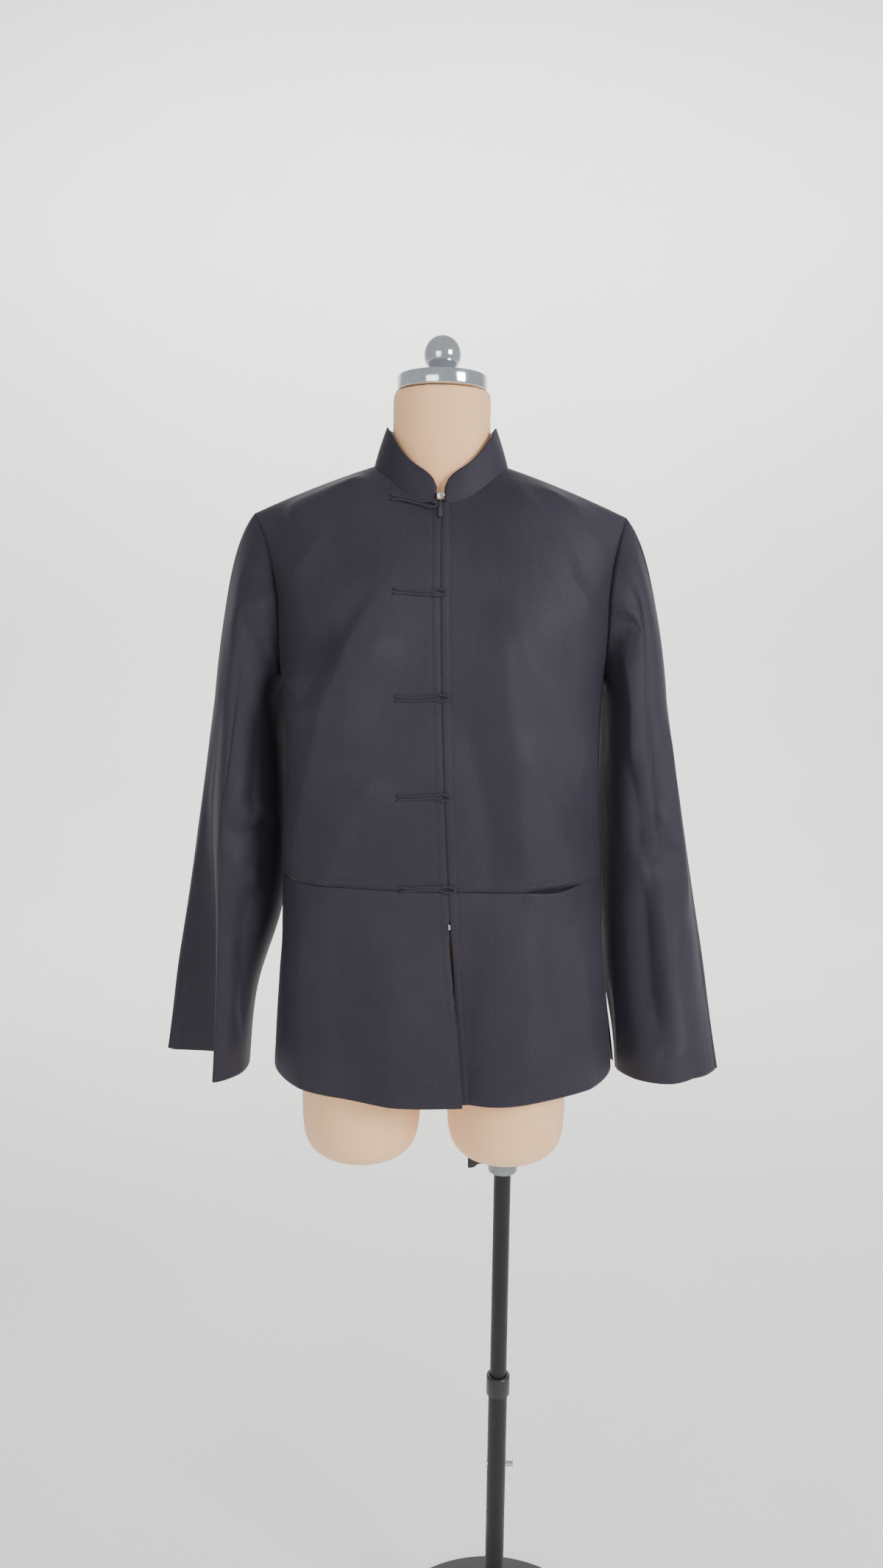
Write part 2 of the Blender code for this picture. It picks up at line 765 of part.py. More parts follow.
def vent_facing(name, hand, columns=2, rows=8):
    """Paler facing inside the back, along the vent."""
    grids = []
    low = 0.015
    high = (VENT_TOP + 0.010 - HEM_Z) / (SHOULDER_Z - HEM_Z)
    for inset in (CLOTH + TAPE_SEAM, CLOTH + TAPE_SEAM + LINING):
        grid = []
        for i in range(rows + 1):
            v = mix(low, high, i / rows)
            row = []
            for j in range(columns + 1):
                across = mix(FACING_START, 1.0, j / columns)
                place = (1 + hand * across) / 2
                row.append(back_point(place, 1, v, inset))
            grid.append(row)
        grids.append(grid)
    return cloth(name, *grids, "cloth_inside")


def prism(name, outline, thick, kind, place):
    """Flat plate: an outline in the X-Z plane, extruded towards -Y, then moved to its place."""
    bm = bmesh.new()
    face = bm.faces.new([bm.verts.new((x, 0, z)) for x, z in outline])
    made = bmesh.ops.extrude_face_region(bm, geom=[face])
    moved = [v for v in made["geom"] if isinstance(v, bmesh.types.BMVert)]
    bmesh.ops.translate(bm, verts=moved, vec=(0, -thick, 0))
    bmesh.ops.translate(bm, verts=bm.verts, vec=place)
    return finish(name, bm, kind, 30)


def zip_hardware():
    """Slider with two lobes at the neck seam, its pull tab, and the stop at the zip's end."""
    top_z = NECK_FRONT_Z
    surface = body_depth(0, top_z, FRONT)
    lobes = []
    for step in range(16):
        angle = 2 * math.pi * step / 16
        swell = 1 + 0.16 * math.cos(2 * angle)
        lobes.append((SLIDER_HALF_X * swell * math.cos(angle), SLIDER_HALF_Z * math.sin(angle)))
    prism("zip_slider", lobes, SLIDER_THICK, "zip_metal",
          (AXIS_X, surface - 0.0016, top_z + 0.0050))
    hinge_z = top_z - 0.0030
    hinge_y = body_depth(0, hinge_z, FRONT) - TAB_OUT
    foot_y = body_depth(0, hinge_z - TAB_LENGTH, FRONT) - TAB_OUT
    pivot = bpy.data.objects.new("pull_tab_pivot", None)
    pivot.location = (AXIS_X, hinge_y, hinge_z)
    pivot.rotation_euler.x = math.atan2(foot_y - hinge_y, TAB_LENGTH)
    bpy.context.scene.collection.objects.link(pivot)
    half = TAB_HALF
    length = TAB_LENGTH
    bm = bmesh.new()
    outline = [(-half * 0.7, 0.0), (half * 0.7, 0.0), (half * 0.7, -0.006), (half, -0.008),
               (half, -length + 0.001), (half * 0.7, -length), (-half * 0.7, -length),
               (-half, -length + 0.001), (-half, -0.008), (-half * 0.7, -0.006)]
    face = bm.faces.new([bm.verts.new((x, TAB_THICK / 2, z)) for x, z in outline])
    made = bmesh.ops.extrude_face_region(bm, geom=[face])
    moved = [v for v in made["geom"] if isinstance(v, bmesh.types.BMVert)]
    bmesh.ops.translate(bm, verts=moved, vec=(0, -TAB_THICK, 0))
    tab = finish("zip_pull_tab", bm, "zip_tape", 30)
    tab.parent = pivot
    stop_x = zip_x(ZIP_END_Z)
    outline = [(-STOP_HALF_X, -STOP_HALF_Z), (STOP_HALF_X, -STOP_HALF_Z),
               (STOP_HALF_X, STOP_HALF_Z), (-STOP_HALF_X, STOP_HALF_Z)]
    surface = body_depth(stop_x, ZIP_END_Z - 0.004, FRONT)
    prism("zip_stop", outline, STOP_THICK, "zip_metal",
          (AXIS_X + stop_x, surface - STOP_THICK, ZIP_END_Z - 0.004))


# ---------------------------------------------------------------- form and stand

def ring_loft(rows, count):
    """Closed bmesh through horizontal rings of points, with flat ends."""
    bm = bmesh.new()
    rings = [[bm.verts.new(point) for point in row] for row in rows]
    for low, high in zip(rings, rings[1:]):
        for k in range(count):
            n = (k + 1) % count
            bm.faces.new((low[k], low[n], high[n], high[k]))
    bm.faces.new(rings[0])
    bm.faces.new(rings[-1])
    return bm


def form_torso(count=36):
    """Whole smooth form: torso and two thigh stubs joined into one body."""
    rows = []
    for z, half, front, back in FORM:
        ring = []
        for k in range(count):
            angle = 2 * math.pi * k / count
            depth = front if math.cos(angle) > 0 else back
            ring.append((AXIS_X + half * math.sin(angle), -depth * math.cos(angle), z))
        rows.append(ring)
    torso = finish("form_torso", ring_loft(rows, count), "jersey")
    for hand in (RIGHT, LEFT):
        rows = []
        for z, x, half, y, deep in THIGH:
            ring = []
            for k in range(24):
                angle = 2 * math.pi * (k + 0.5) / 24
                ring.append((AXIS_X + hand * x + half * math.sin(angle),
                             y - deep * math.cos(angle), z))
            rows.append(ring)
        thigh = finish(f"thigh_shape_{hand}", ring_loft(rows, 24), "jersey")
        thigh.hide_render = True
        thigh.display_type = "WIRE"
        joined = torso.modifiers.new(f"thigh_{hand}", "BOOLEAN")
        joined.operation = "UNION"
        joined.solver = "EXACT"
        joined.object = thigh
    return torso


def turned(name, profile, kind, place, steps=32, hole=False):
    """Body turned about an upright axis from (radius, height) points."""
    bm = bmesh.new()
    verts = [bm.verts.new((radius, 0, height)) for radius, height in profile]
    edges = [bm.edges.new(pair) for pair in zip(verts, verts[1:])]
    if hole:
        edges.append(bm.edges.new((verts[-1], verts[0])))
    bmesh.ops.spin(bm, geom=verts + edges, cent=(0, 0, 0), axis=(0, 0, 1),
                   angle=2 * math.pi, steps=steps, use_merge=True)
    bmesh.ops.remove_doubles(bm, verts=bm.verts, dist=1e-6)
    bmesh.ops.translate(bm, verts=bm.verts, vec=place)
    return finish(name, bm, kind, 35)


def tube(name, radius, bottom, top, kind, wall=TUBE_WALL, steps=24):
    """Open round tube on the pole's axis."""
    profile = [(radius, bottom), (radius, top), (radius - wall, top), (radius - wall, bottom)]
    return turned(name, profile, kind, (0, 0, 0), steps, hole=True)


def rod_along_x(name, start, end, radius, height, kind, steps=16):
    """Round rod along X at a height, on the pole's axis."""
    bm = bmesh.new()
    bmesh.ops.create_cone(bm, cap_ends=True, segments=steps, radius1=radius, radius2=radius,
                          depth=end - start)
    for vert in bm.verts:
        x, y, z = vert.co
        vert.co = (z + (start + end) / 2, y, height - x)
    return finish(name, bm, kind, 35)


def stand():
    """Base plate, telescoping tubes, tube collar, height pin, thigh flange and clamp screw."""
    bevel = 0.002
    turned("base_plate", [(0, 0), (BASE_RADIUS, 0), (BASE_RADIUS, BASE_THICK - bevel),
                          (BASE_RADIUS - bevel, BASE_THICK), (0, BASE_THICK)],
           "black_steel", (0, 0, 0), 64)
    lower = tube("lower_tube", LOWER_TUBE_RADIUS, BASE_THICK + 0.0003, LOWER_TUBE_TOP,
                 "black_steel")
    for i in range(HOLE_COUNT):
        height = PIN_Z - i * HOLE_PITCH
        cutter = rod_along_x(f"tube_hole_{i}", -0.03, 0.03, HOLE_RADIUS, height, "black_steel")
        cutter.hide_render = True
        cutter.display_type = "WIRE"
        drill = lower.modifiers.new(f"hole_{i}", "BOOLEAN")
        drill.operation = "DIFFERENCE"
        drill.solver = "EXACT"
        drill.object = cutter
    tube("column_tube", UPPER_TUBE_RADIUS, PIN_Z + PIN_RADIUS + 0.0003, THIGH_BOTTOM - 0.0008,
         "black_steel")
    turned("tube_collar", [
        (LOWER_TUBE_RADIUS + 0.0003, TUBE_COLLAR_BOTTOM),
        (TUBE_COLLAR_RADIUS, TUBE_COLLAR_BOTTOM),
        (TUBE_COLLAR_RADIUS, TUBE_COLLAR_TOP - 0.002),
        (TUBE_COLLAR_RADIUS - 0.002, TUBE_COLLAR_TOP),
        (UPPER_TUBE_RADIUS + 0.0004, TUBE_COLLAR_TOP),
        (UPPER_TUBE_RADIUS + 0.0004, LOWER_TUBE_TOP + 0.0003),
        (LOWER_TUBE_RADIUS + 0.0003, LOWER_TUBE_TOP + 0.0003),
    ], "black_plastic", (0, 0, 0), 24, hole=True)
    rod_along_x("height_pin", -0.0135, PIN_OUT, PIN_RADIUS, PIN_Z, "chrome", 16)
    flange_low = THIGH_BOTTOM - 0.0005 - FLANGE_HEIGHT
    flange = turned("thigh_flange", [
        (UPPER_TUBE_RADIUS + 0.0004, flange_low),
        (FLANGE_RADIUS - 0.002, flange_low),
        (FLANGE_RADIUS, flange_low + 0.002),
        (FLANGE_RADIUS, THIGH_BOTTOM - 0.0005),
        (UPPER_TUBE_RADIUS + 0.0004, THIGH_BOTTOM - 0.0005),
    ], "cast_metal", (0, 0, 0), 32, hole=True)
    bore = rod_along_x("screw_bore", -0.030, -0.010, 0.0029, SCREW_Z, "cast_metal", 12)
    bore.hide_render = True
    bore.display_type = "WIRE"
    drill = flange.modifiers.new("screw_bore", "BOOLEAN")
    drill.operation = "DIFFERENCE"
    drill.solver = "EXACT"
    drill.object = bore


def clamp_screw(steps=12):
    """Thumb screw: a round stem turned out into a flat fan-shaped grip."""
    pivot = bpy.data.objects.new("clamp_screw_pivot", None)
    pivot.location = (0, 0, SCREW_Z)
    bpy.context.scene.collection.objects.link(pivot)
    bm = bmesh.new()
    sections = (
        # x, half height, half thickness
        (-0.0118, 0.0025, 0.0025),
        (-0.0270, 0.0025, 0.0025),
        (-0.0272, 0.0045, 0.0045),
        (-0.0310, 0.0050, 0.0042),
        (-0.0350, 0.0085, 0.0032),
        (-0.0420, 0.0110, 0.0026),
        (-0.0450, 0.0100, 0.0022),
    )
    rings = []
    for x, tall, thick in sections:
        ring = []
        for k in range(steps):
            angle = 2 * math.pi * k / steps
            ring.append(bm.verts.new((x, thick * math.cos(angle), tall * math.sin(angle))))
        rings.append(ring)
    for low, high in zip(rings, rings[1:]):
        for k in range(steps):
            n = (k + 1) % steps
            bm.faces.new((low[k], low[n], high[n], high[k]))
    bm.faces.new(rings[0])
    bm.faces.new(rings[-1])
    screw = finish("clamp_screw", bm, "black_plastic", 35)
    screw.parent = pivot


def neck_fittings(steps=9):
    """Metal cap on the neck and the ball finial on it."""
    edge = 0.003
    profile = [(0, CAP_BOTTOM), (CAP_RADIUS - edge, CAP_BOTTOM), (CAP_RADIUS, CAP_BOTTOM + edge),
               (CAP_RADIUS, CAP_TOP - edge), (CAP_RADIUS - edge, CAP_TOP), (0, CAP_TOP)]
    turned("neck_cap", profile, "chrome", (AXIS_X, 0, 0), 40)
    profile = [(0, CAP_TOP + 0.0003), (0.010, CAP_TOP + 0.0003)]
    start = math.asin(0.010 / BALL_RADIUS)
    for i in range(steps + 1):
        angle = mix(math.pi - start, 0, i / steps)
        profile.append((BALL_RADIUS * math.sin(angle), BALL_Z + BALL_RADIUS * math.cos(angle)))
    turned("finial_ball", profile, "chrome", (AXIS_X, 0, 0), 24)


# ---------------------------------------------------------------- build

for thing in list(bpy.data.objects):
    bpy.data.objects.remove(thing, do_unlink=True)

stand()
clamp_screw()
form_torso()
neck_fittings()

for word, hand in (("right", RIGHT), ("left", LEFT)):
    front_panel(f"front_{word}_upper", hand, POCKET_Z + SEAM / 2, None, row_shares(5, 10, 0.47))
    front_panel(f"front_{word}_lower", hand, None, POCKET_Z - SEAM / 2, row_shares(3, 4, 0.55))
    pocket_bag(f"pocket_bag_{word}", hand)
    vent_facing(f"vent_facing_{word}", hand)
    zip_tape(f"zip_tape_{word}", hand)
back_panel()
sleeve("sleeve_right", SLEEVE_RIGHT, RIGHT)
sleeve("sleeve_left", SLEEVE_LEFT, LEFT)
collar()
zip_hardware()
for number, row in enumerate(FROGS, 1):
    frog(f"frog_{number}", *row)
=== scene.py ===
# %% [markdown]
# # A tang jacket on a shop form
# The jacket is a short coat of fine dark cloth: a stand collar, a zip down the middle, frog
# loops sewn across it, seam pockets and side vents. It hangs on a limbless form that turns on a
# steel pole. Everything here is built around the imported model, in metres, with the front
# towards -Y and up along +Z.

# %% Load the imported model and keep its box
import math
import bmesh
import bpy
from mathutils import Matrix, Vector


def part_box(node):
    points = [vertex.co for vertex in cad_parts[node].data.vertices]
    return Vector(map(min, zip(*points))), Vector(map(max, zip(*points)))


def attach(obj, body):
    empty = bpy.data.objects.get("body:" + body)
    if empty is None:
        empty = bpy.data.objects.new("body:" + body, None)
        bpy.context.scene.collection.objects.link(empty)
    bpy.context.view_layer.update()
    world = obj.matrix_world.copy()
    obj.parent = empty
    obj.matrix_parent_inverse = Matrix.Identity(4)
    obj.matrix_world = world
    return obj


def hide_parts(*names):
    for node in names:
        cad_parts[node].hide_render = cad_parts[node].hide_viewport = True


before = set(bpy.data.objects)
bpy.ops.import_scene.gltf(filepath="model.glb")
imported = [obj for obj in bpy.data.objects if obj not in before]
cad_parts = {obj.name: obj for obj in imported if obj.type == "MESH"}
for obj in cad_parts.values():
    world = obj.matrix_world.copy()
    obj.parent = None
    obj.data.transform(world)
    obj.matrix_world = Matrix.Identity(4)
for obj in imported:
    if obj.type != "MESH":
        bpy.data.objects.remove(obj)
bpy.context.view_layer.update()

# %% [markdown]
# ## Camera, light and a pale room
# The picture is taken from chest height, a little under a metre and a half away, with a wide
# lens that looks slightly down. The room is a plain pale sweep, lit by large soft lamps, so the
# dark cloth shows its folds by broad sheen and not by hard shadows.

# %% Places that several pieces share
AXIS_X = sum(corner.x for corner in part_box("neck_cap")) / 2
MM = 0.001
RIGHT = -1
LEFT = 1
HANDS = (("right", RIGHT), ("left", LEFT))
FRONT = -1
BACK = 1
# places within the body, from which the front's or the back's cloth faces outwards
INSIDE = {FRONT: Vector((AXIS_X, 0.05, 1.2)), BACK: Vector((AXIS_X, -0.05, 1.2))}
print("form axis at x =", round(AXIS_X, 4))

# %% Camera
CAMERA_PLACE = (AXIS_X + 0.005, -1.380, 1.420)
CAMERA_PITCH = math.radians(8.0)
CAMERA_ROLL = math.radians(0.72)
camera_data = bpy.data.cameras.new("camera")
camera_data.sensor_fit = "AUTO"
camera_data.sensor_width = 36.0
camera_data.lens = 26.0
camera = bpy.data.objects.new("camera", camera_data)
bpy.context.scene.collection.objects.link(camera)
camera.matrix_world = (Matrix.Translation(CAMERA_PLACE)
                       @ Matrix.Rotation(math.pi / 2 - CAMERA_PITCH, 4, "X")
                       @ Matrix.Rotation(CAMERA_ROLL, 4, "Z"))
bpy.context.scene.camera = camera
print("camera at", [round(value, 3) for value in camera.location])


# %% Soft lamps
LAMPS = (
    # name, place and target from the form's axis, size, power, colour
    ("key_lamp", (1.9, -1.7, 2.1), (0, 0, 1.2), (0.9, 0.9), 70, (0.97, 0.98, 1.0)),
    ("fill_lamp", (-1.1, -2.4, 1.5), (0, 0, 1.15), (1.4, 1.4), 24, (1.0, 0.97, 0.94)),
    ("wall_lamp", (0, 2.6, 4.3), (0, 5.2, 1.7), (7.0, 1.0), 400, (1.0, 1.0, 1.0)),
)
ROOM_COLOUR = (0.93, 0.96, 1.0, 1)
ROOM_STRENGTH = 0.64


def area_lamp(name, place, target, size, power, colour):
    """Large soft lamp that looks at a target."""
    data = bpy.data.lights.new(name, "AREA")
    data.shape = "RECTANGLE"
    data.size, data.size_y = size
    data.energy = power
    data.color = colour
    lamp = bpy.data.objects.new(name, data)
    lamp.location = Vector(place) + Vector((AXIS_X, 0, 0))
    lamp.rotation_euler = (Vector(target) - Vector(place)).to_track_quat("-Z", "Y").to_euler()
    bpy.context.scene.collection.objects.link(lamp)


for lamp_row in LAMPS:
    area_lamp(*lamp_row)
world = bpy.data.worlds.new("soft_room")
world.use_nodes = True
sky = world.node_tree.nodes["Background"]
sky.inputs["Color"].default_value = ROOM_COLOUR
sky.inputs["Strength"].default_value = ROOM_STRENGTH
bpy.context.scene.world = world


# %% [markdown]
# ## Small helpers
# A finish is a node tree. One function turns a hex colour into the linear values that the
# shader wants, and one adds a node with its settings and links. A new piece goes through one
# function too, which gives it its name, its finish and the body that carries it.

# %% Colour and node helpers
def linear(code):
    """sRGB hex colour as linear values, with full alpha."""
    values = []
    for start in (1, 3, 5):
        value = int(code[start:start + 2], 16) / 255
        values.append(value / 12.92 if value <= 0.04045 else ((value + 0.055) / 1.055) ** 2.4)
    return (*values, 1.0)


def add_node(tree, kind, settings=None, links=None):
    """Add a node: settings are attributes or socket values, links are sockets to feed it."""
    node = tree.nodes.new(kind)
    for key, value in (settings or {}).items():
        if isinstance(key, str) and hasattr(node, key) and key not in node.inputs:
            setattr(node, key, value)
        else:
            node.inputs[key].default_value = value
    for key, source in (links or {}).items():
        tree.links.new(source, node.inputs[key])
    return node


def new_material(name, shader_settings):
    """Material with a Principled shader; returns the material, its tree and the shader."""
    made = bpy.data.materials.new(name)
    made.use_nodes = True
    tree = made.node_tree
    shader = tree.nodes["Principled BSDF"]
    for key, value in shader_settings.items():
        shader.inputs[key].default_value = value
    return made, tree, shader


def colour_steps(tree, factor, steps):
    """Colour ramp through (place, hex) steps."""
    ramp = add_node(tree, "ShaderNodeValToRGB", {}, {"Fac": factor})
    elements = ramp.color_ramp.elements
    while len(elements) < len(steps):
        elements.new(0.5)
    for element, (place, code) in zip(elements, steps):
        element.position = place
        element.color = linear(code)
    return ramp.outputs["Color"]


def uneven_roughness(tree, shader, cloud, low, high):
    """Let the shader's roughness follow a cloudy factor."""
    rough = add_node(tree, "ShaderNodeMapRange",
                     {"From Min": 0.3, "From Max": 0.7, "To Min": low, "To Max": high},
                     {"Value": cloud}).outputs["Result"]
    tree.links.new(rough, shader.inputs["Roughness"])


# %% Pieces and finishes meet here
FINISH = {}


def mesh_object(name, bm, material, smooth_angle=None):
    """Turn a bmesh into a smooth-shaded object of one material."""
    mesh = bpy.data.meshes.new(name)
    bm.to_mesh(mesh)
    bm.free()
    mesh.shade_smooth()
    if smooth_angle:
        mesh.set_sharp_from_angle(angle=math.radians(smooth_angle))
    mesh.materials.append(material)
    thing = bpy.data.objects.new(name, mesh)
    bpy.context.scene.collection.objects.link(thing)
    return thing


def piece(name, bm, finish, body, nodes, smooth_angle=None):
    """Turn a bmesh into a named piece that rides on a body and stands for CAD nodes."""
    thing = mesh_object(name, bm, FINISH[finish], smooth_angle)
    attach(thing, body)
    if nodes:
        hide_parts(*nodes)
    return thing


def solidified(thing, thickness):
    """Give a sheet its wall, inwards from the outer face."""
    wall = thing.modifiers.new("wall", "SOLIDIFY")
    wall.thickness = thickness
    wall.offset = -1.0
    wall.use_even_offset = True
    wall.thickness_clamp = 1.0


def soften(bm, offset, segments=3, angle=40):
    """Bevel the edges that turn by more than an angle."""
    rims = [edge for edge in bm.edges if len(edge.link_faces) == 2
            and edge.calc_face_angle() > math.radians(angle)]
    bmesh.ops.bevel(bm, geom=rims, offset=offset, affect="EDGES", segments=segments, profile=0.5,
                    material=-1)


def poured(bm, other):
    """Pour a second bmesh into the first."""
    shape = bpy.data.meshes.new("poured")
    other.to_mesh(shape)
    other.free()
    bm.from_mesh(shape)
    bpy.data.meshes.remove(shape)


def new_verts(made):
    """The new vertices among what an extrusion made."""
    return [thing for thing in made["geom"] if isinstance(thing, bmesh.types.BMVert)]


# %% Numbers that run evenly
def mix(a, b, share):
    """Value part of the way from a to b."""
    return a + (b - a) * share


def smooth(value):
    """Ease from 0 to 1."""
    value = min(max(value, 0.0), 1.0)
    return value * value * (3 - 2 * value)


def spread(start, end, count):
    """Evenly spaced values from start to end, in a number of steps."""
    return [mix(start, end, i / count) for i in range(count + 1)]


def turns(count):
    """Angles evenly round a full turn."""
    return [2 * math.pi * k / count for k in range(count)]


# %% Room sweep: floor and wall in one soft curve
WALL_Y = 5.20
WALL_TOP = 7.0
ROOM_FRONT = -7.0
ROOM_HALF = 8.0
BEND = 1.5


def room_sweep():
    """Pale floor that curves up into a plain wall behind the form."""
    bm = bmesh.new()
    outline = [(ROOM_FRONT, 0.0), (WALL_Y - BEND, 0.0)]
    for angle in spread(0, math.pi / 2, 24)[1:]:
        outline.append((WALL_Y - BEND + BEND * math.sin(angle), BEND - BEND * math.cos(angle)))
    outline.append((WALL_Y, WALL_TOP))
    verts = [bm.verts.new((-ROOM_HALF, y, z)) for y, z in outline]
    edges = [bm.edges.new(pair) for pair in zip(verts, verts[1:])]
    made = bmesh.ops.extrude_edge_only(bm, edges=edges)
    bmesh.ops.translate(bm, verts=new_verts(made), vec=(2 * ROOM_HALF, 0, 0))
    bmesh.ops.recalc_face_normals(bm, faces=bm.faces)
    # wall plaster under matt paint: even, with a faint cloudiness
    plaster, tree, shader = new_material("painted_plaster", {"Roughness": 0.95})
    place = add_node(tree, "ShaderNodeTexCoord")
    cloud = add_node(tree, "ShaderNodeTexNoise", {"Scale": 1.3, "Detail": 3.0},
                     {"Vector": place.outputs["Object"]})
    tint = colour_steps(tree, cloud.outputs["Fac"], [(0.3, "#eeefec"), (0.7, "#f5f4f0")])
    tree.links.new(tint, shader.inputs["Base Color"])
    mesh_object("room_sweep", bm, plaster)


room_sweep()


# %% [markdown]
# ## The jacket's shape
# A tailor thinks of a coat as flat panels that close round a body. So the body here is one
# surface with named sections, and each panel is the stretch of it between its own seams. The
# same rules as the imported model's give the seams, and the finer grid leaves room for folds.

# %% Sizes of the cut
HEM_Z = 0.862
HEM_RISE = 0.010
POCKET_Z = 1.120
VENT_TOP = 1.020
NECK_X = 0.080
NECK_Y_FRONT = 0.0660
NECK_Y_BACK = 0.0640
SHOULDER_Z = 1.604
SHOULDER_TIP_X = 0.2205
ARMHOLE_BASE_Z = 1.355
ZIP_END_Z = 1.083
ZIP_TOP_Z = 1.5625
CLOTH = 1.2 * MM
SEAM_HALF = 0.25 * MM
NECK_SHARE = 5 / 12

BODY = (
    # z, right half, left half, front, back, roundness
    (0.862, 0.203, 0.224, 0.130, 0.124, 1.95),
    (0.950, 0.196, 0.215, 0.128, 0.124, 2.00),
    (1.020, 0.192, 0.209, 0.126, 0.120, 2.05),
    (1.120, 0.190, 0.204, 0.126, 0.110, 2.10),
    (1.200, 0.187, 0.199, 0.125, 0.106, 2.20),
    (1.280, 0.186, 0.196, 0.125, 0.107, 2.30),
    (1.360, 0.190, 0.199, 0.126, 0.112, 2.40),
    (1.420, 0.200, 0.206, 0.126, 0.114, 2.40),
    (1.480, 0.212, 0.213, 0.124, 0.114, 2.40),
    (1.560, 0.226, 0.226, 0.122, 0.112, 2.40),
    (1.680, 0.230, 0.230, 0.120, 0.110, 2.40),
)
ARMHOLE = (
    # z, right x, left x
    (1.452, 0.186, 0.197),
    (1.490, 0.195, 0.202),
    (1.520, 0.205, 0.210),
    (1.549, 0.2205, 0.2205),
)


# %% Read a table of sections smoothly
def table(rows, z):
    """Row at height z, on a smooth curve through the table's rows."""
    if z <= rows[0][0]:
        return rows[0][1:]
    if z >= rows[-1][0]:
        return rows[-1][1:]
    k = next(i for i in range(len(rows) - 1) if z <= rows[i + 1][0])
    low, high = rows[k], rows[k + 1]
    before = rows[max(k - 1, 0)]
    after = rows[min(k + 2, len(rows) - 1)]
    span = high[0] - low[0]
    t = (z - low[0]) / span
    values = []
    for j in range(1, len(low)):
        slope_low = (high[j] - before[j]) / max(high[0] - before[0], 1e-9) * span
        slope_high = (after[j] - low[j]) / max(after[0] - low[0], 1e-9) * span
        values.append((2 * t ** 3 - 3 * t * t + 1) * low[j] + (t ** 3 - 2 * t * t + t) * slope_low
                      + (-2 * t ** 3 + 3 * t * t) * high[j] + (t ** 3 - t * t) * slope_high)
    return tuple(values)


# %% Body surface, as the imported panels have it
def shoulder_z(x):
    """Height of the shoulder ridge at a distance out from the axis."""
    out = abs(x) - NECK_X
    bend = 0.436 * out * out if out > 0 else 0.0
    return SHOULDER_Z - 0.330 * out - bend


def zip_x(z):
    """Line where the fronts meet; it drifts to the wearer's left on the way down."""
    return 0.068 * max(1.570 - z, 0.0) ** 2


def dome(x, z, side):
    """Share of the full depth that is left as the cloth turns over the shoulder."""
    start = 1.360 if side == FRONT else 1.400
    power = 2.0 if side == FRONT else 3.0
    share = min(max((z - start) / (shoulder_z(x) - start), 0.0), 1.0)
    ease = 0.5 + (0.3 * (1 - smooth(abs(x) / 0.100)) if side == FRONT else 0.0)
    return max(1 - share ** power, 0.0) ** ease


def body_section(z, side, hand):
    """Half width, depth and roundness of the jacket's body at a height."""
    right, left, front, back, power = table(BODY, z)
    return (right if hand == RIGHT else left), (front if side == FRONT else back), power


def body_depth(x, z, side):
    """Depth y of the body's cloth at x, z, before any fold."""
    half, depth, power = body_section(z, side, RIGHT if x < 0 else LEFT)
    across = min(abs(x) / half, 1.0)
    return side * depth * max(1 - across ** power, 0.0) ** (1 / power) * dome(x, z, side)


def body_half(y, z, side, hand):
    """Distance out from the axis of the body's cloth at y, z."""
    half, depth, power = body_section(z, side, hand)
    along = min(abs(y) / (depth * dome(half * 0.9, z, side)), 1.0)
    return half * max(1 - along ** power, 0.0) ** (1 / power)


def halved(test, low, high):
    """Value between low and high where a test stops being true."""
    for _ in range(30):
        trial = (low + high) / 2
        if test(trial):
            low = trial
        else:
            high = trial
    return low


def armhole(z, side, hand):
    """Edge of the armhole at a height: distance out and depth."""
    middle = ARMHOLE[0][0]
    column = 0 if hand == RIGHT else 1
    if z >= middle:
        out = table(ARMHOLE, z)[column]
        return out, body_depth(hand * out, z, side)
    out = ARMHOLE[0][1 + column]
    drop = min((middle - z) / (middle - ARMHOLE_BASE_Z), 1.0)
    y = body_depth(hand * out, middle, side) * math.sqrt(max(1 - drop * drop, 0.0))
    return halved(lambda x: abs(body_depth(hand * x, z, side)) > abs(y), 0.5 * out, 0.25), y


def edge_out(z, side, hand):
    """Distance out of a panel's outer edge: side seam, then armhole."""
    if z > ARMHOLE_BASE_Z:
        return armhole(min(z, ARMHOLE[-1][0]), side, hand)[0]
    return body_section(z, side, hand)[0]


def neck_height(x, side):
    """Height of the neck seam at x."""
    reach = NECK_Y_FRONT if side == FRONT else NECK_Y_BACK
    across = min(abs(x) / NECK_X, 1.0)
    want = reach * math.sqrt(max(1 - across * across, 0.0))
    return halved(lambda z: abs(body_depth(x, z, side)) > want, 1.45, shoulder_z(x))


def top_edge(u, side):
    """Neck seam and shoulder seam, from the middle (0) to the shoulder tip (1)."""
    if u <= NECK_SHARE:
        out = NECK_X * math.sin(u / NECK_SHARE * math.pi / 2)
        return out, neck_height(out, side)
    out = mix(NECK_X, SHOULDER_TIP_X, (u - NECK_SHARE) / (1 - NECK_SHARE))
    return out, shoulder_z(out)


print("neck seam front at z =", round(neck_height(0, FRONT), 4))

# %% [markdown]
# ## Folds
# Fine smooth cloth falls in nearly flat facets that meet along soft creases. So a fold here is
# a line on the cloth with a height and a width on each side, like a low tent: steep on one
# side and long on the other where the cloth hangs that way. The heights are a few millimetres,
# and they fade towards the ends of the line.


# %% Tents along lines
RIDGE_LIFT = 1.3  # the body's ridges stand this much higher than their rows say
FOLD_REACH = 2.2  # widths beyond which a fold is flat
FOLD_ENDS = 0.22  # share of a fold's length over which it fades at each end
FOLD_SLOPE = 0.55  # share of its height that a tent loses in one width
FOLD_FOOT = 1.6  # above 1, so that a tent's foot runs out softly
RIDGE_ROUND = 0.3  # share of a row's softness that rounds its ridge


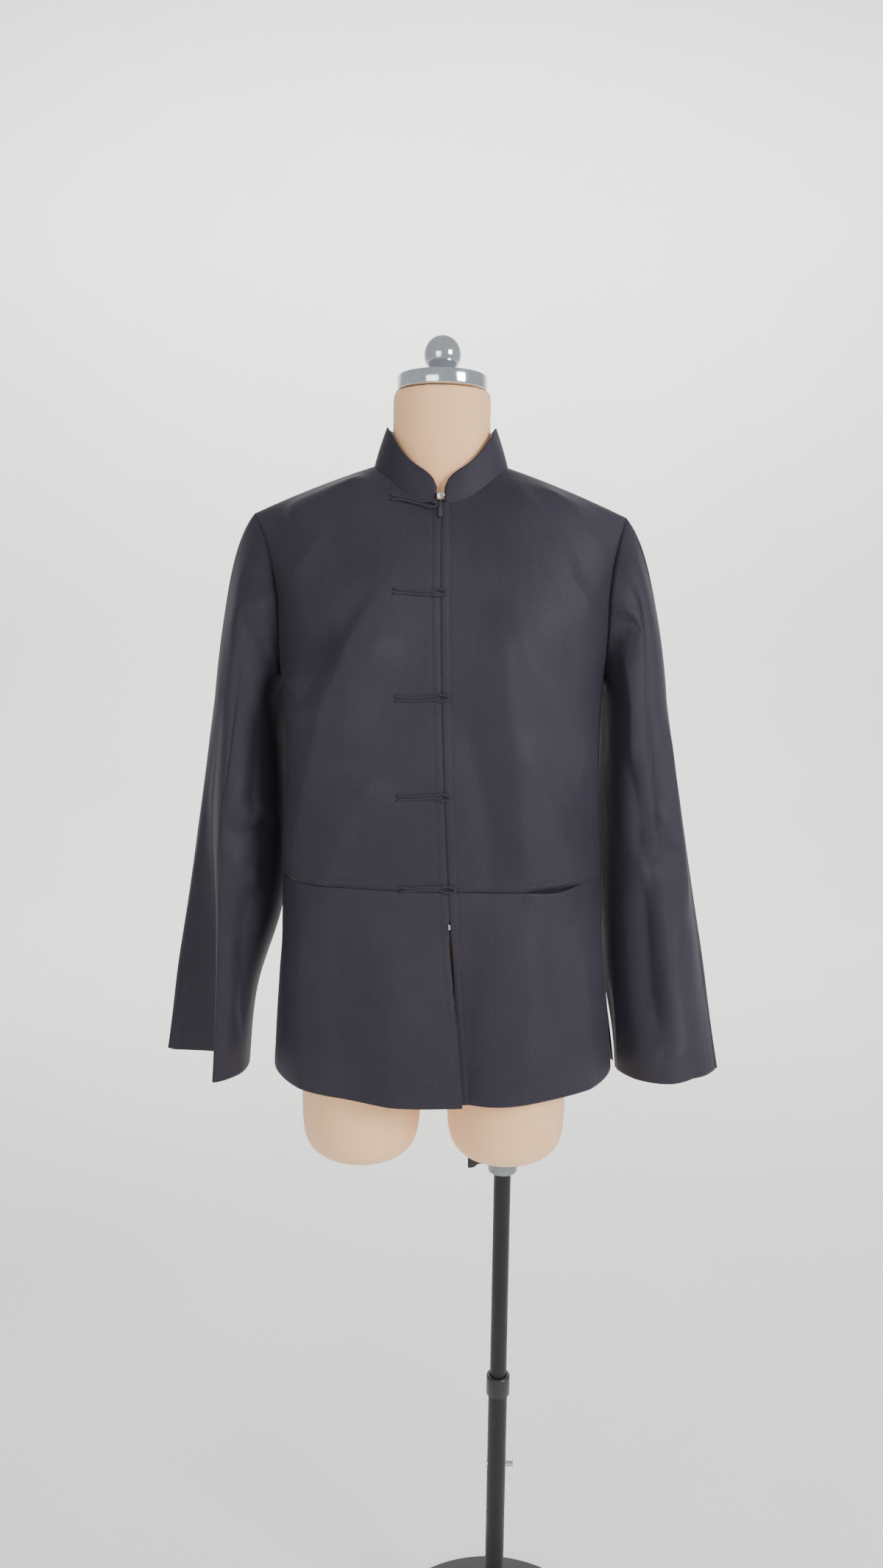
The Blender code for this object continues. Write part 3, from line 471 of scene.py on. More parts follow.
def line_place(points, x, z):
    """Signed distance from a line of points, and the share along it, at the nearest place."""
    best = None
    total = len(points) - 1
    for i in range(total):
        ax, az = points[i]
        bx, bz = points[i + 1]
        dx, dz = bx - ax, bz - az
        span = dx * dx + dz * dz
        share = min(max(((x - ax) * dx + (z - az) * dz) / span, 0.0), 1.0)
        px, pz = x - ax - dx * share, z - az - dz * share
        distance = math.hypot(px, pz)
        if best is None or distance < best[0]:
            turn = dx * pz - dz * px
            best = (distance, math.copysign(distance, turn), (i + share) / total)
    return best[1], best[2]


def fold_height(folds, x, z, ridge_lift=1.0):
    """Sum of all the folds at x, z; ridges may be lifted by a share."""
    total = 0.0
    for height, left_width, right_width, edge, points in folds:
        reach = max(left_width, right_width) * FOLD_REACH
        if min(p[0] for p in points) - reach > x or max(p[0] for p in points) + reach < x:
            continue
        if min(p[1] for p in points) - reach > z or max(p[1] for p in points) + reach < z:
            continue
        distance, share = line_place(points, x, z)
        width = left_width if distance > 0 else right_width
        soft = edge * RIDGE_ROUND
        away = math.sqrt((distance / width) ** 2 + soft * soft) - soft
        fade = smooth(share / FOLD_ENDS) * smooth((1 - share) / FOLD_ENDS)
        lift = ridge_lift if height > 0 else 1.0
        total += height * lift * (max(1 - away * FOLD_SLOPE, 0.0) ** FOLD_FOOT) * fade
    return total


FRONT_FOLDS = (
    # height, width to the line's left, to its right, softness, line
    # the left front's long ridge, from the chest down to the hem
    (0.0120, 0.046, 0.060, 0.16, ((0.062, 1.470), (0.072, 1.360), (0.086, 1.240), (0.100, 1.120),
                                  (0.108, 1.010), (0.106, 0.780))),
    # creases that fan from the neck and shoulder to the armhole and the side
    (0.0064, 0.030, 0.040, 0.16, ((0.066, 1.460), (0.104, 1.370), (0.150, 1.300), (0.205, 1.220))),
    (0.0059, 0.024, 0.034, 0.12, ((0.070, 1.596), (0.122, 1.535), (0.150, 1.470), (0.192, 1.395))),
    (0.0048, 0.018, 0.024, 0.14, ((0.095, 1.592), (0.150, 1.552), (0.188, 1.500), (0.203, 1.445))),
    (-0.0042, 0.020, 0.020, 0.25, ((0.088, 1.588), (0.142, 1.525), (0.176, 1.450))),
    (-0.0073, 0.030, 0.024, 0.18, ((0.022, 1.350), (0.046, 1.255), (0.060, 1.180),
                                   (0.062, 1.090))),
    (0.0062, 0.026, 0.034, 0.18, ((0.082, 1.310), (0.112, 1.240), (0.140, 1.175), (0.170, 1.100))),
    (-0.0070, 0.040, 0.030, 0.25, ((0.120, 1.140), (0.136, 1.040), (0.168, 0.930))),
    (-0.0059, 0.026, 0.030, 0.25, ((0.040, 1.100), (0.044, 1.000), (0.042, 0.780))),
    (0.0048, 0.030, 0.026, 0.30, ((0.160, 1.080), (0.184, 0.980), (0.188, 0.780))),
    # the right front's diagonals, from the chest to the side seam
    (0.0120, 0.036, 0.060, 0.14, ((-0.040, 1.490), (-0.088, 1.420), (-0.122, 1.340),
                                  (-0.140, 1.250), (-0.158, 1.160), (-0.168, 1.060))),
    (-0.0081, 0.034, 0.026, 0.25, ((-0.070, 1.470), (-0.120, 1.390), (-0.160, 1.310))),
    (0.0057, 0.030, 0.030, 0.25, ((-0.058, 1.420), (-0.092, 1.350), (-0.106, 1.260))),
    (0.0073, 0.026, 0.040, 0.20, ((-0.062, 1.260), (-0.100, 1.195), (-0.130, 1.100))),
    (0.0073, 0.024, 0.030, 0.20, ((-0.078, 1.592), (-0.132, 1.558), (-0.186, 1.535))),
    (0.0057, 0.022, 0.026, 0.20, ((-0.120, 1.535), (-0.158, 1.480), (-0.190, 1.420))),
    (-0.0069, 0.020, 0.022, 0.20, ((-0.196, 1.398), (-0.150, 1.392), (-0.105, 1.404))),
    (0.0060, 0.022, 0.020, 0.20, ((-0.188, 1.372), (-0.160, 1.350), (-0.140, 1.300))),
    (-0.0040, 0.040, 0.034, 0.35, ((-0.108, 1.130), (-0.116, 1.000), (-0.104, 0.780))),
    (0.0044, 0.040, 0.030, 0.30, ((-0.150, 1.110), (-0.160, 1.010), (-0.156, 0.780))),
    (0.0032, 0.030, 0.024, 0.30, ((-0.040, 1.080), (-0.052, 0.980), (-0.048, 0.780))),
)
BACK_FOLDS = (
    (0.0091, 0.050, 0.040, 0.20, ((-0.056, 1.560), (-0.085, 1.440), (-0.092, 1.280),
                                  (-0.078, 1.100))),
    (0.0100, 0.044, 0.056, 0.20, ((0.072, 1.550), (0.092, 1.420), (0.104, 1.260), (0.094, 1.060))),
    (-0.0065, 0.036, 0.036, 0.30, ((0.004, 1.540), (0.010, 1.380), (0.002, 1.180))),
    (0.0060, 0.026, 0.036, 0.18, ((-0.192, 1.430), (-0.140, 1.350), (-0.104, 1.260))),
    (0.0052, 0.034, 0.024, 0.18, ((0.196, 1.420), (0.150, 1.330), (0.122, 1.230))),
    (0.0086, 0.046, 0.038, 0.25, ((-0.040, 1.130), (-0.058, 1.000), (-0.072, 0.780))),
    (0.0096, 0.046, 0.050, 0.25, ((0.054, 1.110), (0.078, 0.980), (0.088, 0.780))),
    (-0.0060, 0.040, 0.034, 0.30, ((-0.126, 1.090), (-0.136, 0.980), (-0.142, 0.780))),
    (-0.0052, 0.028, 0.040, 0.30, ((0.136, 1.070), (0.150, 0.960), (0.148, 0.780))),
    (0.0042, 0.020, 0.024, 0.20, ((-0.094, 1.570), (-0.150, 1.525), (-0.190, 1.465))),
    (0.0042, 0.024, 0.020, 0.20, ((0.098, 1.566), (0.150, 1.515), (0.194, 1.445))),
    (0.0047, 0.022, 0.026, 0.20, ((-0.150, 1.200), (-0.120, 1.160), (-0.086, 1.150))),
)
print("folds:", len(FRONT_FOLDS), "front,", len(BACK_FOLDS), "back")

# %% [markdown]
# ## Finishes
# Each finish is a real material with the marks of how it was made. Their patterns are in real
# millimetres, so they stay right when the object is reused at its own size. The cloth ones read
# the panel's own flat coordinates, which carry the weave along with the fold.

# %% Cloth finishes
WAVE_STRIPES = 3.1416  # stripes per metre, about, of a wave texture whose scale is 1


def thread_wave(tree, coordinates, direction, per_metre, distortion):
    """Fine even stripes of thread along one way of the cloth."""
    return add_node(tree, "ShaderNodeTexWave",
                    {"wave_type": "BANDS", "bands_direction": direction,
                     "Scale": per_metre / WAVE_STRIPES, "Distortion": distortion,
                     "Detail": 1.0, "Detail Scale": 1.5},
                    {"Vector": coordinates}).outputs["Fac"]


def bump(tree, height, strength, distance, before=None):
    """Bump node over a height, on top of an earlier one."""
    links = {"Height": height}
    if before:
        links["Normal"] = before
    return add_node(tree, "ShaderNodeBump", {"Strength": strength, "Distance": distance},
                    links).outputs["Normal"]


def cloth_finish(name, dark, light, roughness, sheen, weave_per_metre=2200, weave=0.25):
    """Woven cloth: a warp and a weft, a slight cloudiness and a soft fuzz at glancing angles."""
    made, tree, shader = new_material(name, {
        "Specular IOR Level": 0.25, "Sheen Weight": sheen, "Sheen Roughness": 0.40,
        "Sheen Tint": linear("#8f8a98"), "IOR": 1.46})
    flat = add_node(tree, "ShaderNodeUVMap", {"uv_map": "cut"}).outputs["UV"]
    warp = thread_wave(tree, flat, "X", weave_per_metre, 0.6)
    weft = thread_wave(tree, flat, "Y", weave_per_metre * 0.86, 0.6)
    threads = add_node(tree, "ShaderNodeMath", {"operation": "MULTIPLY"},
                       {0: warp, 1: weft}).outputs["Value"]
    cloud = add_node(tree, "ShaderNodeTexNoise", {"Scale": 5.0, "Detail": 7.0, "Roughness": 0.55},
                     {"Vector": flat}).outputs["Fac"]
    slub = add_node(tree, "ShaderNodeTexNoise", {"Scale": 420.0, "Detail": 2.0},
                    {"Vector": flat}).outputs["Fac"]
    tint = add_node(tree, "ShaderNodeMath", {"operation": "MULTIPLY_ADD", 1: 0.60},
                    {0: slub, 2: cloud}).outputs["Value"]
    tree.links.new(colour_steps(tree, tint, [(0.60, dark), (1.00, light)]),
                   shader.inputs["Base Color"])
    uneven_roughness(tree, shader, cloud, roughness - 0.05, roughness + 0.05)
    slant = add_node(tree, "ShaderNodeMapping",
                     {"Rotation": (0, 0, 0.6), "Scale": (1.0, 0.28, 1.0)},
                     {"Vector": flat}).outputs["Vector"]
    crumple = add_node(tree, "ShaderNodeTexNoise",
                       {"Scale": 34.0, "Detail": 2.5, "Distortion": 0.4},
                       {"Vector": slant}).outputs["Fac"]
    soft = bump(tree, slub, 0.10, 0.6 * MM, bump(tree, crumple, 0.55, 2.2 * MM))
    tree.links.new(bump(tree, threads, weave, 0.12 * MM, soft), shader.inputs["Normal"])
    return made


# fine worsted twill, piece dyed and pressed: a smooth face that catches a faint cool light
FINISH["cloth"] = cloth_finish("worsted_cloth_piece_dyed", "#27242d", "#342f39", 0.62, 0.16)
# the same yarn woven paler as a facing and lining: it reads grey where the inside shows
FINISH["facing"] = cloth_finish("grey_facing_cloth_woven", "#76736f", "#8e8b86", 0.70, 0.20)
FINISH["collar_lining"] = cloth_finish("collar_lining_satin_woven", "#a39f9b", "#bcb8b2",
                                       0.48, 0.20)
# narrow tape woven of polyester: flatter and darker than the cloth
FINISH["zip_tape"] = cloth_finish("zip_tape_polyester_woven", "#27252b", "#302e35", 0.72,
                                  0.12, 1500, 0.5)
# bias strips folded and stitched over cord: the diagonal weave rounds off the light
FINISH["cord"] = cloth_finish("bias_cord_hand_rolled", "#2a272e", "#322f37", 0.66, 0.30, 1700, 0.5)
print("cloth finishes", len(FINISH))


# %% Hard finishes and the form's jersey
def object_noise(tree, scale, detail=4.0):
    """Cloudy noise in the object's own space."""
    place = add_node(tree, "ShaderNodeTexCoord").outputs["Object"]
    return add_node(tree, "ShaderNodeTexNoise", {"Scale": scale, "Detail": detail},
                    {"Vector": place}).outputs["Fac"]


def plain_finish(name, dark, light, roughness, settings, scale=24.0, grain=0.0, grain_scale=900.0):
    """Even finish with cloudy colour, uneven roughness and an optional fine grain."""
    made, tree, shader = new_material(name, settings)
    cloud = object_noise(tree, scale)
    tree.links.new(colour_steps(tree, cloud, [(0.35, dark), (0.68, light)]),
                   shader.inputs["Base Color"])
    uneven_roughness(tree, shader, cloud, roughness * 0.85, min(roughness * 1.2, 1.0))
    if grain:
        fine = object_noise(tree, grain_scale, 2.0)
        tree.links.new(bump(tree, fine, grain, 0.2 * MM), shader.inputs["Normal"])
    return made


# knitted jersey pulled tight over moulded foam: matt, warm and faintly uneven
FINISH["jersey"] = plain_finish("cotton_jersey_stretched", "#f7bd88", "#fccb9b", 0.86,
                                {"Sheen Weight": 0.25, "Sheen Roughness": 0.5,
                                 "Subsurface Weight": 0.04, "Subsurface Scale": 0.004},
                                7.0, 0.35, 1100.0)
# spun steel, polished and chrome plated: near mirror, so it takes the room's tones
FINISH["chrome"] = plain_finish("chrome_plated_steel", "#c4c7cb", "#d2d5d8", 0.10,
                                {"Metallic": 1.0}, 30.0)
# steel tube, powder coated and baked: the skin is slightly rippled like peel
FINISH["black_steel"] = plain_finish("black_powder_coated_steel", "#151417", "#1d1c20", 0.46,
                                     {"Specular IOR Level": 0.3, "Coat Weight": 0.10,
                                      "Coat Roughness": 0.3}, 12.0, 0.25, 520.0)
# nylon, injection moulded: a low even gloss with rounded edges
FINISH["black_plastic"] = plain_finish("black_nylon_moulded", "#1b1b1d", "#232326", 0.38,
                                       {"Specular IOR Level": 0.5}, 40.0, 0.15, 700.0)
# zinc, die cast and tumbled: grey with a soft blunt shine
FINISH["cast_metal"] = plain_finish("zinc_die_cast_tumbled", "#84868a", "#9a9c9f", 0.42,
                                    {"Metallic": 1.0}, 60.0, 0.35, 900.0)
# zip chain and slider, nickel plated brass: small bright points
FINISH["zip_metal"] = plain_finish("nickel_plated_brass", "#a8a9ac", "#c3c4c6", 0.26,
                                   {"Metallic": 1.0}, 200.0, 0.1, 2500.0)
# zip teeth, moulded polyacetal in the tape's colour
FINISH["zip_teeth"] = plain_finish("dark_polyacetal_moulded", "#2a282e", "#38363d", 0.40,
                                   {"Specular IOR Level": 0.5}, 300.0)
# pull tab, dark enamelled metal
FINISH["zip_pull"] = plain_finish("dark_enamelled_metal", "#26252b", "#322f38", 0.30,
                                  {"Specular IOR Level": 0.5, "Coat Weight": 0.4,
                                   "Coat Roughness": 0.2}, 150.0)
# sewing thread, spun polyester a shade darker than the cloth
FINISH["thread"] = plain_finish("spun_polyester_thread", "#29272d", "#312f36", 0.62,
                                {"Sheen Weight": 0.3}, 500.0)
print("finishes", sorted(FINISH))

# %% [markdown]
# ## Cloth from a flat grid
# Every sheet starts as a flat grid, like cloth on the cutting table. Each point is then moved to
# its place on the worn shape and the flat distances stay with it as the panel's coordinates, so
# the weave follows the cut. A tube such as a sleeve is the same grid with two edges joined.

# %% Grid of cloth
def lengths(path):
    """Distance from a path's start to each of its points."""
    run = [0.0]
    for a, b in zip(path, path[1:]):
        run.append(run[-1] + (b - a).length)
    return run


def cloth_grid(places, wrap=False):
    """Flat grid moved to rows of places; flat distances are kept as the cut's coordinates."""
    rows, columns = len(places) - 1, len(places[0]) - 1
    bm = bmesh.new()
    bmesh.ops.create_grid(bm, x_segments=columns, y_segments=rows, size=0.5)
    flat = bm.loops.layers.uv.new("cut")
    along = [lengths(row) for row in places]
    up = [[0.0] * (columns + 1)]
    for low, high in zip(places, places[1:]):
        up.append([length + (b - a).length for length, a, b in zip(up[-1], low, high)])
    index = {}
    for vert in bm.verts:
        index[vert] = (round((vert.co.y + 0.5) * rows), round((vert.co.x + 0.5) * columns))
    for face in bm.faces:
        for loop in face.loops:
            i, j = index[loop.vert]
            loop[flat].uv = (along[i][j], up[i][j])
    for vert, (i, j) in index.items():
        vert.co = places[i][j]
    if wrap:
        bmesh.ops.remove_doubles(bm, verts=bm.verts, dist=1e-6)
    return bm


def face_out(bm, centre, upright=False):
    """Turn the faces to look away from a centre, or from the upright line through it."""
    bm.normal_update()
    lean = 0.0
    for face in bm.faces:
        away = face.calc_center_median() - centre
        if upright:
            away.z = 0.0
        lean += face.normal.dot(away)
    if lean < 0:
        bmesh.ops.reverse_faces(bm, faces=bm.faces)
    return bm


def sheet(name, bm, finish, nodes, thickness):
    """Finish a grid as a piece of cloth with its wall."""
    area = sum(face.calc_area() for face in bm.faces)
    thing = piece(name, bm, finish, "dress_form", nodes)
    solidified(thing, thickness)


# %% Surface with its folds
def surface_normal(x, z, side):
    """Outward direction of the body's cloth at x, z."""
    step = 0.002
    slope_x = (body_depth(x + step, z, side) - body_depth(x - step, z, side)) / (2 * step)
    slope_z = (body_depth(x, z + step, side) - body_depth(x, z - step, side)) / (2 * step)
    return Vector((-side * slope_x, side, -side * slope_z)).normalized()


def ripple(x, z):
    """Small unevenness of cloth that has been worn and moved."""
    return 0.5 * MM * (math.sin(31 * x + 9 * z + 2.1 * math.sin(13 * z))
                       + 0.8 * math.sin(17 * z - 43 * x + 1.7 * math.sin(21 * x)))


def opening_dip(x, z):
    """How the fronts part below the zip: the left one dips behind the right one's edge."""
    low = smooth((ZIP_END_Z - 0.015 - z) / 0.070)
    inside = x - zip_x(z)
    if inside > 0:
        return -9 * MM * low * math.exp(-(inside / 0.026) ** 2)
    return 1.5 * MM * low * math.exp(-(inside / 0.014) ** 2)


def body_place(x, z, side, out=0.0, fade=1.0):
    """Place on the folded body at x, z, moved out by a distance."""
    folds = FRONT_FOLDS if side == FRONT else BACK_FOLDS
    lift = (fold_height(folds, x, z, RIDGE_LIFT) + ripple(x, z)) * fade
    if side == FRONT:
        lift += opening_dip(x, z)
    base = Vector((AXIS_X + x, body_depth(x, z, side), z))
    return base + surface_normal(x, z, side) * (lift + out)


# %% [markdown]
# ## Fronts and back
# Each front is cut in two at pocket height. The upper one runs from the neck and shoulder to
# the pocket seam, the lower one from there to the hem, and the pocket mouth is a stretch of
# that seam left open. The turned edge beside the zip is stitched down 9.5 mm in, and the
# stitching pulls a shallow groove.

# %% Panel points
STITCH_IN = 9.5 * MM
ZIP_HALF = 0.45 * MM
MOUTH = {RIGHT: (0.095, 0.160), LEFT: (0.098, 0.172)}
GAPE = {RIGHT: (1.5 * MM, 0.5 * MM), LEFT: (7.5 * MM, 3.5 * MM)}
FULL_Z = 1.20  # up to here the columns of a panel spread evenly round the body
SIDE_FADE = 0.035
TOP_FADE = 0.022


def edge_shift(z, hand):
    """Sideways run of a front's free edge below the zip."""
    slit = math.exp(-((z - 1.046) / 0.026) ** 2)
    if hand == LEFT:
        return 1.0 * MM * slit
    over = 5.5 * MM * smooth((1.005 - z) / 0.060)
    return over - 1.2 * MM * slit


def groove(inside):
    """Depth of the stitched groove and of the rolled edge beside the zip."""
    stitched = -0.55 * MM * math.exp(-((inside - STITCH_IN) / (1.3 * MM)) ** 2)
    rolled = -0.6 * MM * math.exp(-(inside / (0.9 * MM)) ** 2)
    puffed = 0.35 * MM * math.exp(-((inside - STITCH_IN / 2) / (3.0 * MM)) ** 2)
    return stitched + rolled + puffed


def across_share(u, z, tops):
    """Share of the way out to a panel's edge, low down and towards its top edge."""
    top_x, top_z = tops
    share_up = smooth((z - FULL_Z) / (top_z - FULL_Z))
    return mix(math.sin(u * math.pi / 2), top_x / SHOULDER_TIP_X, share_up)


def seam_fade(gap, z, top_z):
    """Folds fade out at the top edge, and at the side seam above the vent."""
    closed = smooth((z - VENT_TOP + 0.03) / 0.05)
    return mix(1.0, smooth(gap / SIDE_FADE), closed) * smooth((top_z - z) / TOP_FADE)


def front_point(u, v, hand, upper, tops):
    """Point of a front: u from the zip to the side, v from its lower to its upper edge."""
    top_z = tops[1]
    bottom = HEM_Z + HEM_RISE * u * u
    seam = POCKET_Z + (SEAM_HALF if upper else -SEAM_HALF)
    z = mix(seam, top_z, 1 - (1 - v) ** 1.5) if upper else mix(bottom, seam, v)
    middle = hand * zip_x(z) + ZIP_HALF * smooth((z - ZIP_END_Z + 0.006) / 0.010)
    if z < ZIP_END_Z:
        middle += hand * edge_shift(z, hand)
    edge = edge_out(z, FRONT, hand)
    out = mix(middle, edge, across_share(u, z, tops))
    extra = groove(out - middle)
    start, end = MOUTH[hand]
    along = (out - start) / (end - start)
    in_mouth = 0 < along < 1
    if upper and in_mouth:
        extra += 1.2 * MM * math.sin(math.pi * along) * smooth((POCKET_Z + 0.030 - z) / 0.030)
    place = body_place(hand * out, z, FRONT, extra, seam_fade(edge - out, z, top_z))
    place.y = min(place.y, -SEAM_HALF)
    if in_mouth and not upper:
        near = math.sin(math.pi * along) ** 0.8 * smooth((z - (POCKET_Z - 0.060)) / 0.060)
        out_by, down_by = GAPE[hand]
        place.y -= out_by * near
        place.z -= down_by * near * near
    return place


def front_columns():
    """Shares across a front: narrow columns beside the zip, wider ones beyond."""
    near = [0.0052 * j for j in range(10)]
    return near + spread(near[-1], 1.0, 64)[1:]


def front_panel(word, hand, upper):
    """One cut piece of a front."""
    columns = front_columns()
    tops = [top_edge(u, FRONT) for u in columns]
    rows = 130 if upper else 76
    places = [[front_point(u, i / rows, hand, upper, top) for u, top in zip(columns, tops)]
              for i in range(rows + 1)]
    level = "upper" if upper else "lower"
    name = f"front_{word}_{level}"
    bm = face_out(cloth_grid(places), INSIDE[FRONT])
    sheet(f"{name}_cloth", bm, "cloth", (name,), CLOTH)


for word, hand in HANDS:
    front_panel(word, hand, True)
    front_panel(word, hand, False)


# %% [markdown]
# The back is one piece from side seam to side seam. Below the vents its edges hang free and
# stand off a little, and the paler facing sewn inside them shows there.

# %% Back and vent facings
def back_place(across, v, tops, out=0.0):
    """Point of the back: across from side seam to side seam, v from hem to neck."""
    u = abs(across)
    hand = RIGHT if across < 0 else LEFT
    top_z = tops[1]
    z = mix(HEM_Z + HEM_RISE * u * u, top_z, 1 - (1 - v) ** 1.5)
    edge = edge_out(z, BACK, hand)
    x = hand * edge * across_share(u, z, tops)
    place = body_place(x, z, BACK, out, seam_fade(edge - abs(x), z, top_z))
    open_share = smooth((VENT_TOP - z) / (VENT_TOP - HEM_Z)) * u ** 6
    place.x += hand * (6 if hand == LEFT else 2) * MM * open_share
    place.y = max(place.y, SEAM_HALF) + 4 * MM * open_share
    return place


def back_sheet(columns, heights, out=0.0):
    """Grid of the back over columns and heights, moved out by a distance."""
    tops = [top_edge(abs(across), BACK) for across in columns]
    places = [[back_place(across, v, top, out) for across, top in zip(columns, tops)]
              for v in heights]
    return face_out(cloth_grid(places), INSIDE[BACK])


bm = back_sheet([2 * j / 110 - 1 for j in range(111)], [i / 150 for i in range(151)])
sheet("back_cloth", bm, "cloth", ("back",), CLOTH)

for word, hand in HANDS:
    columns = [hand * across for across in spread(0.80, 0.999, 8)]
    bm = back_sheet(columns, spread(0.010, 0.158, 30), -2.4 * MM)
    sheet(f"vent_facing_{word}_cloth", bm, "facing", (f"vent_facing_{word}",),
          0.8 * MM)


# %% [markdown]
# ## Sleeves
# A sleeve is cut in one piece and sewn into a tube, then set into the armhole. Here its grid
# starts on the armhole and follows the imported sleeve's sections. The arm is empty, so the
# sleeve falls flat: a sharp crease stands at the front and a fin of cloth lies behind it.

# %% Sleeve sections
SLEEVE_RIGHT = (
    # z, outer edge, front recess, front crease
    # inner front, inner side, inner back, back
    (1.330, (0.2685, 0.000), (0.257, -0.046), (0.236, -0.066), (0.207, -0.047),
     (0.196, 0.000), (0.191, 0.052), (0.236, 0.070), 0.016),
    (1.170, (0.2950, 0.022), (0.272, -0.012), (0.260, -0.064), (0.224, -0.050),
     (0.195, -0.005), (0.191, 0.050), (0.245, 0.068), 0.013),
    (1.060, (0.3130, 0.036), (0.272, 0.006), (0.266, -0.060), (0.232, -0.046),
     (0.203, -0.002), (0.202, 0.050), (0.258, 0.068), 0.011),
    (0.960, (0.3295, 0.046), (0.271, 0.022), (0.270, -0.057), (0.238, -0.038),
     (0.228, 0.006), (0.235, 0.055), (0.270, 0.070), 0.008),
    (0.860, (0.3460, 0.059), (0.268, 0.038), (0.274, -0.053), (0.243, -0.027),
     (0.238, 0.018), (0.250, 0.064), (0.292, 0.073), 0.005),
)
SLEEVE_LEFT = (
    (1.330, (0.2745, 0.000), (0.262, -0.046), (0.240, -0.066), (0.214, -0.048),
     (0.204, 0.000), (0.203, 0.050), (0.242, 0.068), 0.016),
    (1.170, (0.3035, 0.006), (0.288, -0.045), (0.256, -0.062), (0.224, -0.046),
     (0.209, 0.000), (0.205, 0.050), (0.260, 0.060), 0.013),
    (1.060, (0.3230, 0.010), (0.302, -0.040), (0.268, -0.056), (0.232, -0.040),
     (0.214, 0.002), (0.214, 0.046), (0.270, 0.052), 0.011),
    (0.960, (0.3415, 0.012), (0.316, -0.034), (0.282, -0.050), (0.241, -0.034),
     (0.222, 0.006), (0.226, 0.042), (0.284, 0.046), 0.008),
    (0.860, (0.3590, 0.012), (0.335, -0.022), (0.292, -0.043), (0.253, -0.028),
     (0.232, 0.012), (0.253, 0.028), (0.294, 0.031), 0.005),
)
PROFILE_ANGLES = (14, 48, 90, 135, 180, 225, 270, 346)
AROUND = 0.045  # metres of cloth between two neighbouring places of a section
EMPTY_ARM_X = 0.24  # out from the axis, a line that runs down inside each sleeve

SLEEVE_FOLDS_RIGHT = (
    # height, width to the line's left, to its right, softness, line of (places round, z)
    # the front crease from the shoulder to the cuff
    (0.0067, 0.020, 0.014, 0.10, ((0.098, 1.420), (0.090, 1.330), (0.088, 1.170), (0.088, 1.000),
                                  (0.090, 0.800))),
    # hollow beside the fin, and the fin's own light edge
    (-0.0060, 0.020, 0.020, 0.30, ((0.046, 1.300), (0.042, 1.150), (0.044, 1.000),
                                   (0.046, 0.800))),
    (0.0033, 0.012, 0.016, 0.20, ((0.020, 1.240), (0.014, 1.100), (0.020, 0.980), (0.016, 0.880))),
    # curved fold from the armhole to the underarm
    (0.0057, 0.010, 0.014, 0.15, ((0.070, 1.440), (0.096, 1.410), (0.124, 1.380), (0.150, 1.366))),
    (0.0042, 0.010, 0.012, 0.15, ((0.052, 1.480), (0.078, 1.462), (0.112, 1.452), (0.140, 1.456))),
    (-0.0051, 0.014, 0.016, 0.20, ((0.110, 1.420), (0.134, 1.390), (0.160, 1.350))),
    # elbow creases inside the bend
    (-0.0069, 0.014, 0.020, 0.20, ((0.108, 1.240), (0.118, 1.205), (0.140, 1.190),
                                   (0.170, 1.210))),
    (0.0060, 0.012, 0.018, 0.20, ((0.100, 1.190), (0.122, 1.170), (0.150, 1.176), (0.176, 1.190))),
    (-0.0054, 0.016, 0.016, 0.25, ((0.106, 1.150), (0.128, 1.120), (0.156, 1.112))),
    (0.0045, 0.016, 0.022, 0.25, ((0.130, 1.330), (0.138, 1.250), (0.134, 1.160))),
    (0.0045, 0.016, 0.020, 0.25, ((0.140, 1.120), (0.134, 1.020), (0.142, 0.900))),
    (-0.0042, 0.016, 0.016, 0.25, ((0.116, 1.060), (0.120, 0.960), (0.112, 0.860))),
    # the same kind of folds behind
    (0.0060, 0.022, 0.016, 0.20, ((0.252, 1.440), (0.262, 1.300), (0.270, 1.120), (0.272, 0.800))),
    (-0.0051, 0.018, 0.020, 0.25, ((0.300, 1.300), (0.310, 1.160), (0.306, 1.000))),
    (0.0045, 0.014, 0.018, 0.20, ((0.240, 1.200), (0.268, 1.170), (0.300, 1.176))),
    (0.0042, 0.012, 0.018, 0.20, ((0.236, 1.420), (0.262, 1.396), (0.296, 1.390))),
)
